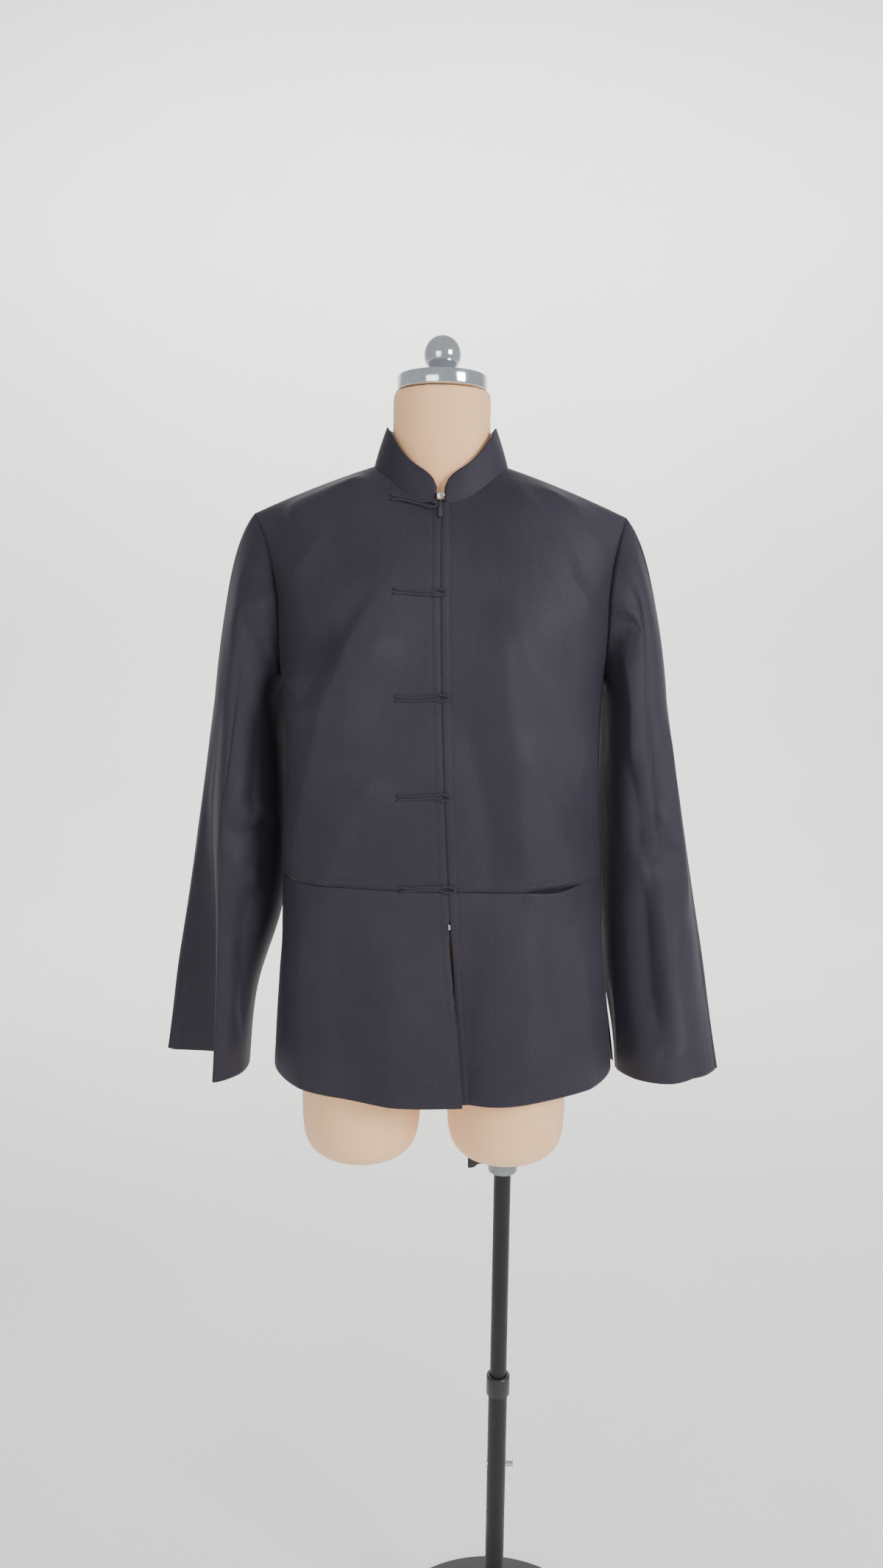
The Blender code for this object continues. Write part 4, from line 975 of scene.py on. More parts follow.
SLEEVE_FOLDS_LEFT = (
    # light crease down from the shoulder, fading at the elbow
    (0.0083, 0.022, 0.016, 0.12, ((0.078, 1.500), (0.074, 1.430), (0.076, 1.330), (0.080, 1.220),
                                  (0.084, 1.120))),
    # pinch beside the armhole and the arc over it
    (0.0067, 0.012, 0.010, 0.12, ((0.138, 1.392), (0.124, 1.420), (0.096, 1.428), (0.084, 1.412))),
    (0.0045, 0.010, 0.012, 0.15, ((0.116, 1.490), (0.092, 1.478), (0.080, 1.462))),
    (-0.0051, 0.012, 0.014, 0.20, ((0.112, 1.458), (0.098, 1.440), (0.088, 1.446))),
    (-0.0060, 0.016, 0.016, 0.20, ((0.116, 1.400), (0.112, 1.330), (0.116, 1.250))),
    (0.0051, 0.016, 0.020, 0.20, ((0.126, 1.270), (0.112, 1.200), (0.094, 1.150))),
    (-0.0054, 0.016, 0.014, 0.20, ((0.060, 1.210), (0.086, 1.176), (0.112, 1.170))),
    (0.0054, 0.014, 0.018, 0.20, ((0.052, 1.170), (0.080, 1.140), (0.110, 1.136))),
    (0.0060, 0.020, 0.016, 0.25, ((0.110, 1.140), (0.106, 1.060), (0.108, 0.980), (0.096, 0.900))),
    (-0.0051, 0.018, 0.018, 0.25, ((0.078, 1.100), (0.084, 1.000), (0.076, 0.860))),
    (0.0045, 0.018, 0.016, 0.25, ((0.050, 1.080), (0.058, 0.980), (0.052, 0.800))),
    (0.0039, 0.012, 0.012, 0.20, ((0.104, 0.906), (0.080, 0.892), (0.050, 0.898))),
    (-0.0042, 0.016, 0.016, 0.25, ((0.030, 1.330), (0.034, 1.200), (0.028, 1.060))),
    (0.0060, 0.022, 0.016, 0.20, ((0.256, 1.440), (0.262, 1.300), (0.264, 1.120), (0.268, 0.800))),
    (0.0045, 0.014, 0.018, 0.20, ((0.240, 1.200), (0.270, 1.176), (0.300, 1.180))),
    (-0.0045, 0.018, 0.020, 0.25, ((0.298, 1.300), (0.304, 1.160), (0.300, 1.000))),
    (0.0042, 0.012, 0.018, 0.20, ((0.236, 1.424), (0.262, 1.400), (0.296, 1.396))),
)


# %% Sleeve rings
def closed_curve(places, steps):
    """Smooth closed curve through a ring of places."""
    points = []
    count = len(places)
    for i in range(count):
        a, b, c, d = (places[(i + k - 1) % count] for k in range(4))
        for step in range(steps):
            t = step / steps
            points.append(0.5 * ((2 * b) + (c - a) * t + (2 * a - 5 * b + 4 * c - d) * t * t
                                 + (3 * b - a - 3 * c + d) * t ** 3))
    return points


def sleeve_ring(rows, z, hand, steps):
    """Ring of a sleeve below the armhole, kept clear of the jacket's side."""
    values = table(sorted((row[0], *(value for pair in row[1:8] for value in pair), row[8])
                          for row in rows), z)
    pairs = [Vector((values[2 * i], values[2 * i + 1])) for i in range(7)]
    half = values[14]
    profile = [pairs[0] + Vector((0, -half)), *pairs[1:], pairs[0] + Vector((0, half))]
    ring = []
    for place in closed_curve(profile, steps):
        side = FRONT if place.y < 0 else BACK
        side_x = body_half(place.y, z, side, hand) + 3.0 * MM
        if z < VENT_TOP + 0.02 and side == BACK and hand == LEFT:
            side_x += 7 * MM * smooth((VENT_TOP + 0.02 - z) / 0.10)
        ring.append(Vector((AXIS_X + hand * max(place.x, side_x), place.y, z)))
    return ring


def armhole_ring(hand, steps):
    """Ring of points along the armhole, in step with the sleeve's sections."""
    ring = []
    middle = (ARMHOLE[-1][0] + ARMHOLE_BASE_Z) / 2
    half = (ARMHOLE[-1][0] - ARMHOLE_BASE_Z) / 2
    for i, start in enumerate(PROFILE_ANGLES):
        end = PROFILE_ANGLES[(i + 1) % len(PROFILE_ANGLES)]
        end += 360 if end < start else 0
        for step in range(steps):
            angle = math.radians(mix(start, end, step / steps))
            z = middle + half * math.cos(angle)
            side = FRONT if math.sin(angle) > 0 else BACK
            out, y = armhole(z, side, hand)
            ring.append(Vector((AXIS_X + hand * (out + 0.3 * MM), y, z)))
    return ring


def sleeve_head(start, end, hand, rings):
    """Rings of the sleeve cap, from the armhole over to the first whole section."""
    made = []
    centre = sum(start, Vector()) / len(start)
    half_tall = (ARMHOLE[-1][0] - ARMHOLE_BASE_Z) / 2
    half_deep = max(abs(point.y - centre.y) for point in start)
    for k in range(1, rings):
        t = k / rings
        row = []
        for a, b in zip(start, end):
            reach = (b - a).length
            up = max((a.z - centre.z) / half_tall, 0.0)
            spread = (a.y - centre.y) / half_deep
            low = max((centre.z - a.z) / half_tall, 0.0)
            out = mix(mix(1.05, 0.42, smooth(up)), 0.45, smooth(low))
            leave = Vector((hand * out, 0.40 * spread, -0.16 - 0.30 * up)) * reach
            arrive = Vector((hand * 0.10, 0, -1.0)) * reach * 0.90
            row.append((2 * t ** 3 - 3 * t * t + 1) * a + (t ** 3 - 2 * t * t + t) * leave
                       + (3 * t * t - 2 * t ** 3) * b + (t ** 3 - t * t) * arrive)
        made.append(row)
    return made


def sleeve_panel(word, hand, rows, folds, steps=14, head=26, lower=110):
    """Whole sleeve with its folds."""
    top = sleeve_ring(rows, rows[0][0], hand, steps)
    first = armhole_ring(hand, steps)
    rings = [first, *sleeve_head(first, top, hand, head), top]
    rings += [sleeve_ring(rows, z, hand, steps)
              for z in spread(rows[0][0], rows[-1][0], lower)[1:]]
    count = len(first)
    places = []
    for i, ring in enumerate(rings):
        above, below = rings[max(i - 1, 0)], rings[min(i + 1, len(rings) - 1)]
        fade = smooth(i / 7)
        row = []
        for j, point in enumerate(ring):
            outward = (ring[(j + 1) % count] - ring[j - 1]).cross(below[j] - above[j]).normalized()
            outward *= -1 if hand == LEFT else 1
            around = j / steps * AROUND
            lift = fold_height(folds, around, point.z) + ripple(around * 1.3 + hand, point.z)
            tucked = 0.2 * MM * math.exp(-((len(rings) - i) / 3) ** 2)
            row.append(point + outward * (lift * fade - tucked))
        places.append([*row, row[0]])
    arm = Vector((AXIS_X + hand * EMPTY_ARM_X, 0.0, 0.0))
    bm = face_out(cloth_grid(places, wrap=True), arm, upright=True)
    name = f"sleeve_{word}"
    sheet(f"{name}_cloth", bm, "cloth", (name,), CLOTH)


sleeve_panel("right", RIGHT, SLEEVE_RIGHT, SLEEVE_FOLDS_RIGHT)
sleeve_panel("left", LEFT, SLEEVE_LEFT, SLEEVE_FOLDS_LEFT)

# %% [markdown]
# ## Collar
# The stand collar is two layers, sewn right sides together round the top, turned and pressed.
# Its front corners are rounded and do not quite meet. The inner layer is paler, so the inside of
# the neck reads grey above the dark outer cloth.

# %% Collar
COLLAR_GAP = 4.5 * MM
COLLAR_CLEAR = 1.1 * MM
COLLAR_FRONT = 0.034
COLLAR_SIDE = 0.0450
COLLAR_CORNER = 0.018


def neck_seam(angle):
    """Point of the neck seam, by angle round from the front."""
    x = NECK_X * math.sin(angle)
    side = FRONT if math.cos(angle) >= 0 else BACK
    reach = NECK_Y_FRONT if side == FRONT else NECK_Y_BACK
    return Vector((AXIS_X + x, -reach * math.cos(angle), neck_height(x, side)))


def collar_height(angle):
    """Height of the stand collar, with its front corners rounded off."""
    height = mix(COLLAR_FRONT, COLLAR_SIDE, smooth(abs(angle) / math.radians(95)))
    from_edge = abs(angle) * NECK_Y_FRONT - COLLAR_GAP
    if from_edge < COLLAR_CORNER:
        gone = COLLAR_CORNER - max(from_edge, 0.0)
        height -= COLLAR_CORNER - math.sqrt(COLLAR_CORNER ** 2 - gone ** 2)
    return height


def collar_layer(columns, rows, inset, low, high):
    """Rows of one layer of the collar, with the slight waves of a soft stand."""
    first = math.asin(COLLAR_GAP / NECK_X)
    grid = []
    for i in range(rows + 1):
        row = []
        for j in range(columns + 1):
            across = 2 * j / columns - 1
            angle = math.pi - math.copysign(abs(across) ** 1.25, across) * (math.pi - first)
            angle = angle if angle <= math.pi else angle - 2 * math.pi
            base = neck_seam(angle)
            height = collar_height(angle)
            share = mix(low, high, i / rows)
            lean = height * share / COLLAR_SIDE
            inward = Vector((AXIS_X - base.x, -base.y, 0)).normalized()
            wave = (0.6 * MM * share * math.sin(5 * angle + 1.0)
                    + 0.4 * MM * share * math.sin(11 * angle))
            swell = -0.7 * MM * math.sin(math.pi * max(share, 0.0))
            base += inward * (inset + COLLAR_CLEAR + 14.5 * MM * lean * math.sin(angle) ** 2
                              + 6.5 * MM * lean * math.cos(angle) ** 2 + wave + swell)
            base.z += COLLAR_CLEAR + height * share
            row.append(base)
        grid.append(row)
    return grid


middle = Vector((AXIS_X, 0, 1.59))  # inside the neck, half way up the collar
bm = face_out(cloth_grid(collar_layer(150, 15, 0.0, -0.11, 1.0)), middle)
sheet("collar_cloth", bm, "cloth", ("collar",), 1.3 * MM)
bm = face_out(cloth_grid(collar_layer(150, 14, 1.7 * MM, 0.0, 0.97)), middle)
sheet("collar_lining_cloth", bm, "collar_lining", ("collar_lining",), 0.8 * MM)

# %% [markdown]
# ## Pocket bags and zip tapes
# Behind each pocket mouth lies the bag's inner wall, which keeps the opening dark. The zip's two
# tapes are sewn behind the fronts' edges, down to where the chain ends.

# %% Pocket bags and zip tapes
BAG = {RIGHT: (0.085, 0.170), LEFT: (0.088, 0.182)}
for word, hand in HANDS:
    places = [[body_place(hand * out, z, FRONT, -3.0 * MM) for out in spread(*BAG[hand], 20)]
              for z in spread(1.015, 1.127, 20)]
    bm = face_out(cloth_grid(places), INSIDE[FRONT])
    sheet(f"pocket_bag_{word}_cloth", bm, "cloth", (f"pocket_bag_{word}",),
          0.9 * MM)
    places = [[body_place(zip_x(z) + hand * reach * MM, z, FRONT, -2.6 * MM)
               for reach in (0.4, 4.5, 8.8, 13.0)] for z in spread(ZIP_END_Z, ZIP_TOP_Z, 120)]
    bm = face_out(cloth_grid(places), INSIDE[FRONT])
    sheet(f"zip_tape_{word}_cloth", bm, "zip_tape", (f"zip_tape_{word}",), 0.7 * MM)

# %% [markdown]
# ## Frog loops
# A frog is a bias strip rolled over cord and stitched, then doubled back on itself. Its closed
# end is turned under and flared, the two strands lie side by side, and the bend stands open as
# an eye that once took a button. It is sewn flat across the zip's edge and waves a little.

# %% Cord sweep
def swept(path, normals, half_wide, half_thick, sides=12):
    """Rounded cord along a path; its cut's coordinates run slantwise, as on a bias strip."""
    bm = bmesh.new()
    flat = bm.loops.layers.uv.new("cut")
    rings = []
    run = lengths(path)
    for i, (point, normal) in enumerate(zip(path, normals)):
        along = (path[min(i + 1, len(path) - 1)] - path[max(i - 1, 0)]).normalized()
        across = along.cross(normal).normalized()
        ring = []
        for k in range(sides):
            angle = 2 * math.pi * (k + 0.5) / sides
            ring.append(bm.verts.new(point + across * math.cos(angle) * half_wide
                                     + normal * math.sin(angle) * half_thick))
        rings.append(ring)
    girth = math.pi * 2 * half_thick
    for i, (low, high) in enumerate(zip(rings, rings[1:])):
        for k in range(sides):
            n = (k + 1) % sides
            face = bm.faces.new((low[k], low[n], high[n], high[k]))
            around = (k / sides * girth, (k + 1) / sides * girth)
            corners = ((run[i], around[0]), (run[i], around[1]),
                       (run[i + 1], around[1]), (run[i + 1], around[0]))
            for loop, (length, turn) in zip(face.loops, corners):
                loop[flat].uv = (length + turn, length - turn)
    bm.faces.new(rings[0])
    bm.faces.new(rings[-1])
    bmesh.ops.recalc_face_normals(bm, faces=bm.faces)
    return bm


FROGS = (
    # closed end z, eye tip z, closed end x, eye tip x
    (1.5615, 1.5535, -0.056, -0.0045),
    (1.4555, 1.4545, -0.050, 0.007),
    (1.3385, 1.3395, -0.047, 0.011),
    (1.2275, 1.2285, -0.044, 0.014),
    (1.1220, 1.1240, -0.040, 0.021),
)
STRAND = 1.6 * MM
EYE_HALF = 2.6 * MM
EYE_LONG = 15 * MM


def frog(number, closed_z, tip_z, closed_x, tip_x):
    """One frog loop on the right front, with its eye over the zip."""
    outline = []
    for share in spread(0, 1, 44):
        x = mix(closed_x, tip_x - STRAND, share)
        into_eye = min(max((x - (tip_x - EYE_LONG)) / EYE_LONG, 0.0), 1.0)
        bulge = math.sin(math.pi * into_eye ** 0.8) ** 0.8 if 0 < into_eye < 1 else 0.0
        flare = 1.3 * MM * max(1 - share * 9, 0.0)
        outline.append((x, STRAND * 0.98 + flare + (EYE_HALF - STRAND * 0.4) * bulge))
    upper = outline[:-1]
    bend = [(tip_x - STRAND * 0.6 + STRAND * 1.1 * math.cos(turn), STRAND * 1.15 * math.sin(turn))
            for turn in (math.radians(60 - 20 * k) for k in range(7))]
    lower = [(x, -up) for x, up in reversed(upper)]
    path, normals = [], []
    for x, up in [*upper, *bend, *lower]:
        z = mix(closed_z, tip_z, (x - closed_x) / (tip_x - closed_x))
        wave = 0.9 * MM * math.sin((x - closed_x) * 95 + number) * smooth((x - closed_x) / 0.02)
        lift = STRAND * 0.62 + 0.5 * MM * smooth((x - tip_x + 0.014) / 0.010)
        path.append(body_place(x, z + up + wave, FRONT, lift))
        normals.append(surface_normal(x, z, FRONT))
    bm = swept(path, normals, STRAND, STRAND * 0.72)
    piece(f"frog_{number}_cord", bm, "cord", "dress_form", (f"frog_{number}",))


for number, row in enumerate(FROGS, 1):
    frog(number, *row)
print("frogs", len(FROGS))

# %% [markdown]
# ## Stitches
# A lockstitch shows as short raised threads with tiny gaps, each sunk at its ends. The rows run
# beside the zip, along the pocket mouths and across each frog's closed end.

# %% Rows of stitches
def stitch_row(bm, points, length=2.6 * MM, gap=0.7 * MM, radius=0.22 * MM):
    """Small threads along a line of (place, normal) points."""
    total = 0.0
    placed = 0.0
    for (a, _), (b, normal) in zip(points, points[1:]):
        step = (b - a).length
        total += step
        if total - placed < length + gap:
            continue
        placed = total
        along = (b - a).normalized()
        across = along.cross(normal).normalized()
        middle = b + normal * radius * 0.3
        ring = []
        for end, rise in ((-0.5, -0.6), (-0.25, 0.5), (0.25, 0.5), (0.5, -0.6)):
            centre = middle + along * length * end + normal * radius * rise
            ring.append([bm.verts.new(centre + away * radius)
                         for away in (across, normal, -across)])
        for low, high in zip(ring, ring[1:]):
            for k in range(2):
                bm.faces.new((low[k], low[k + 1], high[k + 1], high[k]))


def line_on_front(places, out):
    """Points with their normals along a line of (x, z) on the fronts."""
    return [(body_place(x, z, FRONT, out), surface_normal(x, z, FRONT)) for x, z in places]


for word, hand in HANDS:
    bm = bmesh.new()
    beside_zip = [(zip_x(z) + hand * (STITCH_IN + ZIP_HALF), z)
                  for z in spread(1.549, 1.090, 900)]
    stitch_row(bm, line_on_front(beside_zip, -0.35 * MM))
    over_mouth = [(hand * out, POCKET_Z + 6.5 * MM) for out in spread(*MOUTH[hand], 160)]
    stitch_row(bm, line_on_front(over_mouth, 0.9 * MM))
    bmesh.ops.recalc_face_normals(bm, faces=bm.faces)
    piece(f"topstitch_{word}", bm, "thread", "dress_form", ())
bm = bmesh.new()
for closed_z, tip_z, closed_x, tip_x in FROGS:
    for share in (0.03, 0.55):
        x = mix(closed_x, tip_x, share)
        z = mix(closed_z, tip_z, share)
        rows = [(body_place(x, z + up * MM, FRONT, STRAND * 1.32), surface_normal(x, z, FRONT))
                for up in spread(-2.6, 2.6, 12)]
        stitch_row(bm, rows, 1.5 * MM, 0.4 * MM)
bmesh.ops.recalc_face_normals(bm, faces=bm.faces)
piece("frog_stitches", bm, "thread", "dress_form", ())
print("stitched")

# %% [markdown]
# ## Zip
# The chain is two rows of small moulded teeth that mesh in turn, 2.5 mm apart in each row. The
# slider sits at the top with its two lobes and an S-shaped channel, and a dark tab hangs from it.

# %% Zip chain
bm = bmesh.new()
PITCH = 2.5 * MM
CHAIN_END_Z = ZIP_END_Z + 0.004
TOOTH = Vector((1.5, 1.1, 1.05)) * MM
count = int((ZIP_TOP_Z - CHAIN_END_Z) / (PITCH / 2))
for i in range(count):
    z = CHAIN_END_Z + i * PITCH / 2
    hand = RIGHT if i % 2 else LEFT
    x = zip_x(z) + hand * 0.35 * MM
    place = body_place(x, z, FRONT, -1.1 * MM)
    made = bmesh.ops.create_cube(bm, size=1.0)
    for vert in made["verts"]:
        narrow = 0.75 if vert.co.x * hand < 0 else 1.0
        vert.co = place + vert.co * TOOTH * Vector((1, 1, narrow))
piece("zip_chain", bm, "zip_teeth", "dress_form", (), 30)
print("zip elements", count)


# %% Slider, pull tab and stop
def plate(outline, thick, place, bevel):
    """Flat plate in the X-Z plane with rounded edges; its thickness runs towards -Y."""
    bm = bmesh.new()
    face = bm.faces.new([bm.verts.new((x, 0, z)) for x, z in outline])
    made = bmesh.ops.extrude_face_region(bm, geom=[face])
    bmesh.ops.translate(bm, verts=new_verts(made), vec=(0, -thick, 0))
    bmesh.ops.recalc_face_normals(bm, faces=bm.faces)
    soften(bm, bevel, 2, 50)
    bmesh.ops.translate(bm, verts=bm.verts, vec=place)
    return bm


NECK_FRONT_Z = 1.560
surface = body_depth(0, NECK_FRONT_Z, FRONT)
lobes = []
for angle in turns(48):
    swell = 1 + 0.16 * math.cos(2 * angle)
    lobes.append((3.6 * MM * swell * math.cos(angle), 4.6 * MM * math.sin(angle)))
slider_y = surface - 1.6 * MM
bm = plate(lobes, 2.2 * MM, (AXIS_X, slider_y, NECK_FRONT_Z + 5.0 * MM), 0.45 * MM)
path = []
normals = []
for turn in spread(-1.0, 1.0, 24):
    path.append(Vector((AXIS_X + 1.7 * MM * math.sin(turn * math.pi), slider_y - 2.3 * MM,
                        NECK_FRONT_Z + (5.0 + 3.0 * turn) * MM)))
    normals.append(Vector((0, -1, 0)))
poured(bm, swept(path, normals, 0.5 * MM, 0.28 * MM, 8))
piece("zip_slider_nickel", bm, "zip_metal", "dress_form", ("zip_slider",), 35)

TAB_LONG = 20 * MM
HINGE_Z = NECK_FRONT_Z - 3.0 * MM
hinge_y = body_depth(0, HINGE_Z, FRONT) - 2.2 * MM
foot_y = body_depth(0, HINGE_Z - TAB_LONG, FRONT) - 2.2 * MM
tilt = math.atan2(foot_y - hinge_y, TAB_LONG)
half = 2.4 * MM
outline = [(-half * 0.62, 0.0), (half * 0.62, 0.0), (half * 0.62, -6 * MM), (half, -8 * MM)]
for step in range(9):
    angle = math.pi * step / 8
    outline.append((half * math.cos(angle), -TAB_LONG + half * 0.9 - half * 0.9 * math.sin(angle)))
outline.extend([(-half, -8 * MM), (-half * 0.62, -6 * MM)])
bm = plate(outline, 1.1 * MM, (0, 0.55 * MM, 0), 0.25 * MM)
bmesh.ops.rotate(bm, verts=bm.verts, cent=(0, 0, 0), matrix=Matrix.Rotation(tilt, 3, "X"))
bmesh.ops.translate(bm, verts=bm.verts, vec=(AXIS_X, hinge_y, HINGE_Z))
piece("zip_pull_tab_enamel", bm, "zip_pull", "pull_tab", ("zip_pull_tab",), 35)

stop_x = zip_x(ZIP_END_Z)
corners = [(x * MM, z * MM) for x, z in ((-1.2, -3.0), (1.2, -3.0), (1.2, 3.0), (-1.2, 3.0))]
bm = plate(corners, 0.8 * MM, body_place(stop_x, ZIP_END_Z - 4.0 * MM, FRONT, 0.2 * MM), 0.2 * MM)
piece("zip_stop_nickel", bm, "zip_metal", "dress_form", ("zip_stop",), 35)
print("zip done, tab tilt", round(tilt, 4))


# %% [markdown]
# ## Form and stand
# The form is moulded foam under stretched jersey, one smooth body from neck to thighs. It is
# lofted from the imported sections, joined to its two thigh stubs, and remeshed so that the joins
# melt together as stretched cloth does.

# %% Dress form
FORM = (
    # z, half width, front, back
    (0.8750, 0.120, 0.070, 0.078), (0.8850, 0.150, 0.088, 0.096), (0.9100, 0.166, 0.098, 0.110),
    (0.9600, 0.171, 0.101, 0.116), (1.0200, 0.166, 0.099, 0.106), (1.1000, 0.150, 0.098, 0.088),
    (1.2000, 0.150, 0.101, 0.088), (1.3000, 0.164, 0.108, 0.096), (1.3800, 0.176, 0.110, 0.101),
    (1.4400, 0.184, 0.104, 0.101), (1.4900, 0.194, 0.092, 0.097), (1.5200, 0.191, 0.082, 0.088),
    (1.5400, 0.174, 0.071, 0.078), (1.5600, 0.134, 0.058, 0.062), (1.5800, 0.094, 0.051, 0.050),
    (1.5950, 0.066, 0.050, 0.047), (1.6100, 0.0585, 0.052, 0.048), (1.6400, 0.0575, 0.054, 0.050),
    (1.6900, 0.0575, 0.0545, 0.050),
)
THIGH = (
    # z, centre x, half width, centre y, half depth
    (0.7490, 0.091, 0.030, 0.000, 0.030), (0.7510, 0.091, 0.044, 0.000, 0.044),
    (0.7580, 0.091, 0.059, 0.000, 0.062), (0.7720, 0.092, 0.070, 0.000, 0.078),
    (0.7950, 0.092, 0.0745, 0.001, 0.086), (0.8300, 0.092, 0.0755, 0.002, 0.091),
    (0.8700, 0.092, 0.0750, 0.004, 0.095), (0.9200, 0.090, 0.0730, 0.006, 0.096),
    (1.0000, 0.080, 0.0600, 0.006, 0.080),
)


def loft(bm, rings):
    """Faces between closed rings of points, with the end rings filled."""
    made = [[bm.verts.new(point) for point in ring] for ring in rings]
    for low, high in zip(made, made[1:]):
        for k in range(len(low)):
            n = (k + 1) % len(low)
            bm.faces.new((low[k], low[n], high[n], high[k]))
    bm.faces.new(list(reversed(made[0])))
    bm.faces.new(made[-1])


def levels(rows, count):
    """Heights spread evenly through a table, with its own rows kept."""
    heights = {row[0] for row in rows}
    heights.update(spread(rows[0][0], rows[-1][0], count))
    return sorted(heights)


bm = bmesh.new()
rings = []
for z in levels(FORM, 90):
    half, front, back = table(FORM, z)
    ring = []
    for angle in turns(96):
        depth = front if math.cos(angle) > 0 else back
        ring.append((AXIS_X + half * math.sin(angle), -depth * math.cos(angle), z))
    rings.append(ring)
loft(bm, rings)
for hand in (RIGHT, LEFT):
    rings = []
    for z in levels(THIGH, 40):
        x, half, y, deep = table(THIGH, z)
        rings.append([(AXIS_X + hand * x + half * math.sin(angle), y - deep * math.cos(angle), z)
                      for angle in turns(64)])
    loft(bm, rings)
bmesh.ops.recalc_face_normals(bm, faces=bm.faces)
form = piece("form_jersey", bm, "jersey", "dress_form", ("form_torso",))
skin = form.modifiers.new("skin", "REMESH")
skin.mode = "VOXEL"
skin.voxel_size = 0.0055
skin.use_smooth_shade = True
relax = form.modifiers.new("relax", "SMOOTH")
relax.factor = 0.5
relax.iterations = 6
print("form faces before its skin", len(form.data.polygons))

# %% [markdown]
# The metal and plastic parts are turned: a profile of radius and height is spun about its axis,
# and a small bevel rounds the edges that a hand would touch. The pole is two tubes, one inside
# the other, held by a pin through a row of holes.

# %% Turned parts
def turned(name, profile, finish, body, node, steps, x=0.0, ring=False, bevel=None):
    """Piece turned about an upright axis at x from (radius, height) points."""
    bm = bmesh.new()
    verts = [bm.verts.new((radius, 0, height)) for radius, height in profile]
    edges = [bm.edges.new(pair) for pair in zip(verts, verts[1:])]
    if ring:
        edges.append(bm.edges.new((verts[-1], verts[0])))
    bmesh.ops.spin(bm, geom=verts + edges, cent=(0, 0, 0), axis=(0, 0, 1), angle=2 * math.pi,
                   steps=steps, use_merge=True)
    bmesh.ops.remove_doubles(bm, verts=bm.verts, dist=1e-6)
    bmesh.ops.recalc_face_normals(bm, faces=bm.faces)
    bmesh.ops.translate(bm, verts=bm.verts, vec=(x, 0, 0))
    if bevel:
        soften(bm, bevel)
    return piece(name, bm, finish, body, (node,), 35)


def tube(outer, inner, low, high):
    """Profile of a plain tube."""
    return [(outer, low), (outer, high), (inner, high), (inner, low)]


PIN_Z = 0.3065
PIN_PITCH = 0.0685
LOWER_RADIUS = 12.5 * MM
LOWER_TOP = 0.4245
UPPER_RADIUS = 11.0 * MM
WALL = 1.2 * MM
SLIDING_FIT = UPPER_RADIUS + 0.4 * MM
PUSH_FIT = LOWER_RADIUS + 0.3 * MM
THIGH_BOTTOM = 0.749
PLATE_RADIUS, PLATE_TOP = 0.175, 0.008
CAP_RADIUS, CAP_Z, CAP_TOP = 0.053, 1.6903, 1.708
BALL_RADIUS, BALL_Z, BALL_FOOT = 0.022, 1.7322, 0.010

turned("base_plate_steel", [(0, 0), (PLATE_RADIUS, 0), (PLATE_RADIUS, PLATE_TOP), (0, PLATE_TOP)],
       "black_steel", "stand", "base_plate", 96, bevel=1.6 * MM)
turned("column_tube_steel", tube(UPPER_RADIUS, UPPER_RADIUS - WALL, PIN_Z + 4.3 * MM,
                                 THIGH_BOTTOM - 0.8 * MM),
       "black_steel", "column", "column_tube", 48, ring=True)
turned("tube_collar_plastic", [
    (PUSH_FIT, 0.410), (15.5 * MM, 0.410), (15.5 * MM, 0.435), (13.5 * MM, 0.437),
    (SLIDING_FIT, 0.437), (SLIDING_FIT, 0.4248), (PUSH_FIT, 0.4248)],
       "black_plastic", "stand", "tube_collar", 48, ring=True, bevel=0.5 * MM)
turned("neck_cap_chrome", [(0, CAP_Z), (CAP_RADIUS, CAP_Z), (CAP_RADIUS, CAP_TOP), (0, CAP_TOP)],
       "chrome", "dress_form", "neck_cap", 96, AXIS_X, bevel=2.6 * MM)
profile = [(0, CAP_TOP + 0.3 * MM), (BALL_FOOT, CAP_TOP + 0.3 * MM)]
for angle in spread(math.pi - math.asin(BALL_FOOT / BALL_RADIUS), 0, 24):
    profile.append((BALL_RADIUS * math.sin(angle), BALL_Z + BALL_RADIUS * math.cos(angle)))
turned("finial_ball_chrome", profile, "chrome", "dress_form", "finial_ball", 64, AXIS_X)


# %% Lower tube with its pin holes
def cross_rod(start, end, radius, height, bevel=None):
    """Round rod along X, through the pole's axis at a height."""
    bm = bmesh.new()
    bmesh.ops.create_cone(bm, cap_ends=True, segments=32, radius1=radius, radius2=radius,
                          depth=end - start)
    bmesh.ops.rotate(bm, verts=bm.verts, cent=(0, 0, 0),
                     matrix=Matrix.Rotation(math.pi / 2, 3, "Y"))
    bmesh.ops.translate(bm, verts=bm.verts, vec=((start + end) / 2, 0, height))
    if bevel:
        soften(bm, bevel)
    return bm


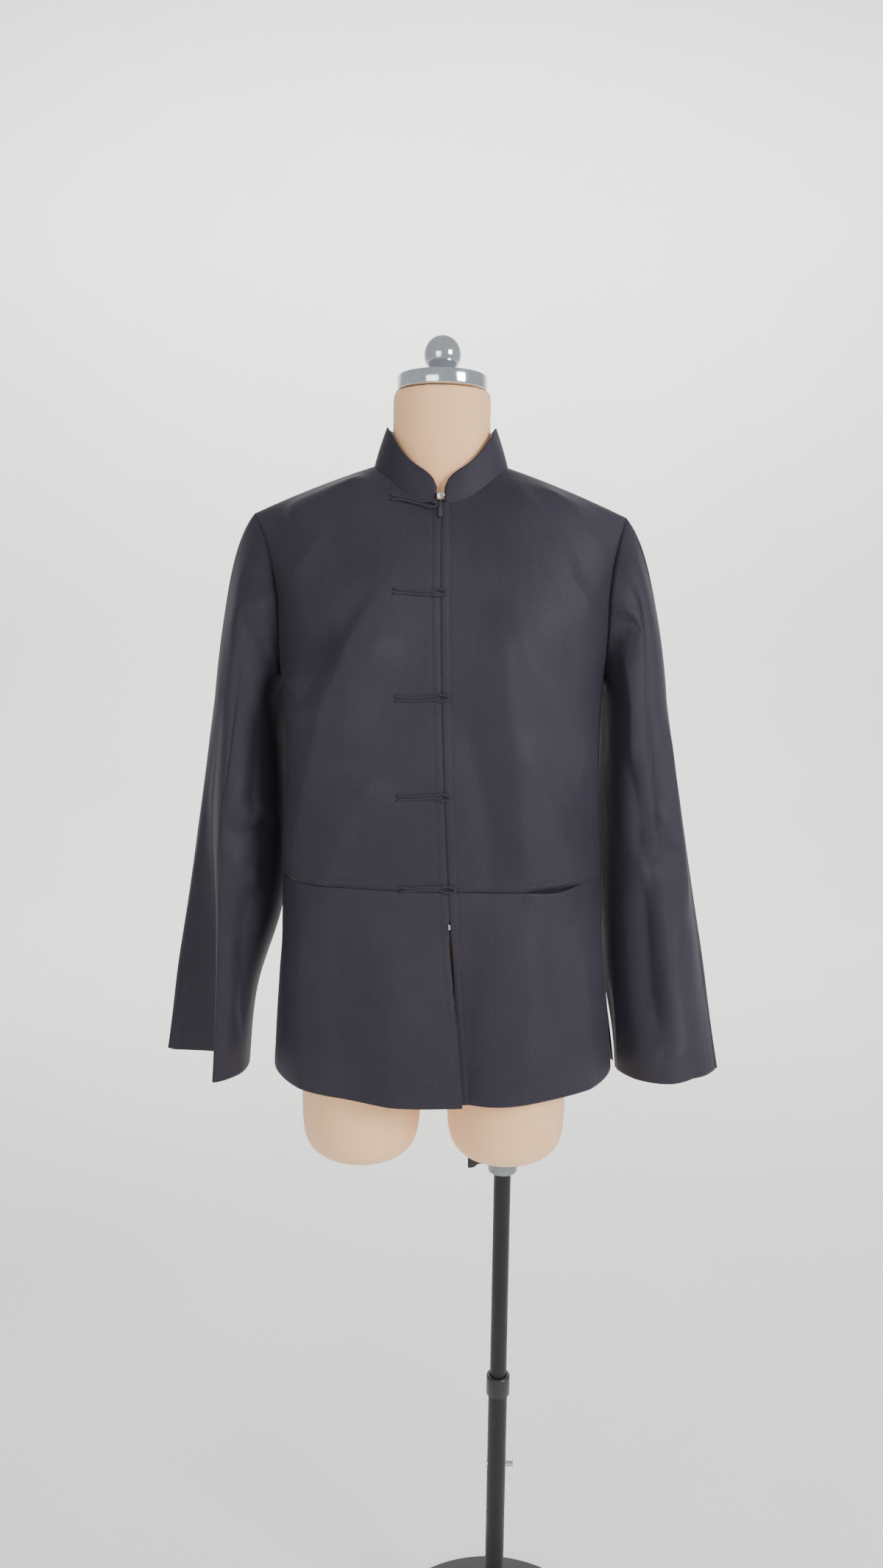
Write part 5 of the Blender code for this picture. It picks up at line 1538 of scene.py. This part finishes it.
def bored(thing, rods):
    """Cut round holes for good through a piece, with rods as the drills."""
    drills = bmesh.new()
    for rod in rods:
        poured(drills, rod)
    cutter = mesh_object("drills", drills, None)
    cut = thing.modifiers.new("holes", "BOOLEAN")
    cut.operation = "DIFFERENCE"
    cut.solver = "EXACT"
    cut.object = cutter
    whole = thing.evaluated_get(bpy.context.evaluated_depsgraph_get())
    mesh = bpy.data.meshes.new_from_object(whole)
    thing.modifiers.remove(cut)
    thing.data = mesh
    mesh.shade_smooth()
    mesh.set_sharp_from_angle(angle=math.radians(35))
    bpy.data.objects.remove(cutter)


lower = turned("lower_tube_steel", tube(LOWER_RADIUS, LOWER_RADIUS - WALL, 8.3 * MM, LOWER_TOP),
               "black_steel", "stand", "lower_tube", 48, ring=True)
bored(lower, [cross_rod(-0.03, 0.03, 4.5 * MM, PIN_Z - i * PIN_PITCH) for i in range(3)])
bm = cross_rod(-13.5 * MM, 22.5 * MM, 4.0 * MM, PIN_Z, 0.7 * MM)
piece("height_pin_chrome", bm, "chrome", "height_pin", ("height_pin",), 35)

# %% [markdown]
# Under the left thigh a cast flange takes the pole. A thumb screw with a fan-shaped grip enters
# it from the side and clamps the form against turning.

# %% Flange and thumb screw
SCREW_Z = 0.7365
FLANGE_TOP = 0.7485
flange = turned("thigh_flange_cast", [
    (SLIDING_FIT, 0.7225), (16.5 * MM, 0.7225), (18.5 * MM, 0.7245), (18.5 * MM, FLANGE_TOP),
    (SLIDING_FIT, FLANGE_TOP)],
                "cast_metal", "dress_form", "thigh_flange", 64, ring=True, bevel=0.6 * MM)
bored(flange, [cross_rod(-0.030, -0.010, 2.9 * MM, SCREW_Z)])

GRIP = (
    # x, half height, half thickness, in millimetres
    (-11.8, 2.5, 2.5), (-27.0, 2.5, 2.5), (-27.2, 4.5, 4.5), (-28.6, 5.1, 4.6),
    (-31.0, 5.0, 4.2), (-33.0, 6.4, 3.7), (-35.0, 8.5, 3.2), (-38.5, 10.3, 2.8),
    (-42.0, 11.0, 2.6), (-44.2, 10.6, 2.5), (-45.0, 9.9, 2.0),
)
bm = bmesh.new()
loft(bm, [[(x * MM, thick * MM * math.cos(angle), SCREW_Z + tall * MM * math.sin(angle))
           for angle in turns(40)] for x, tall, thick in GRIP])
bmesh.ops.recalc_face_normals(bm, faces=bm.faces)
piece("clamp_screw_nylon", bm, "black_plastic", "clamp_screw", ("clamp_screw",),
      35)
print("stand done")
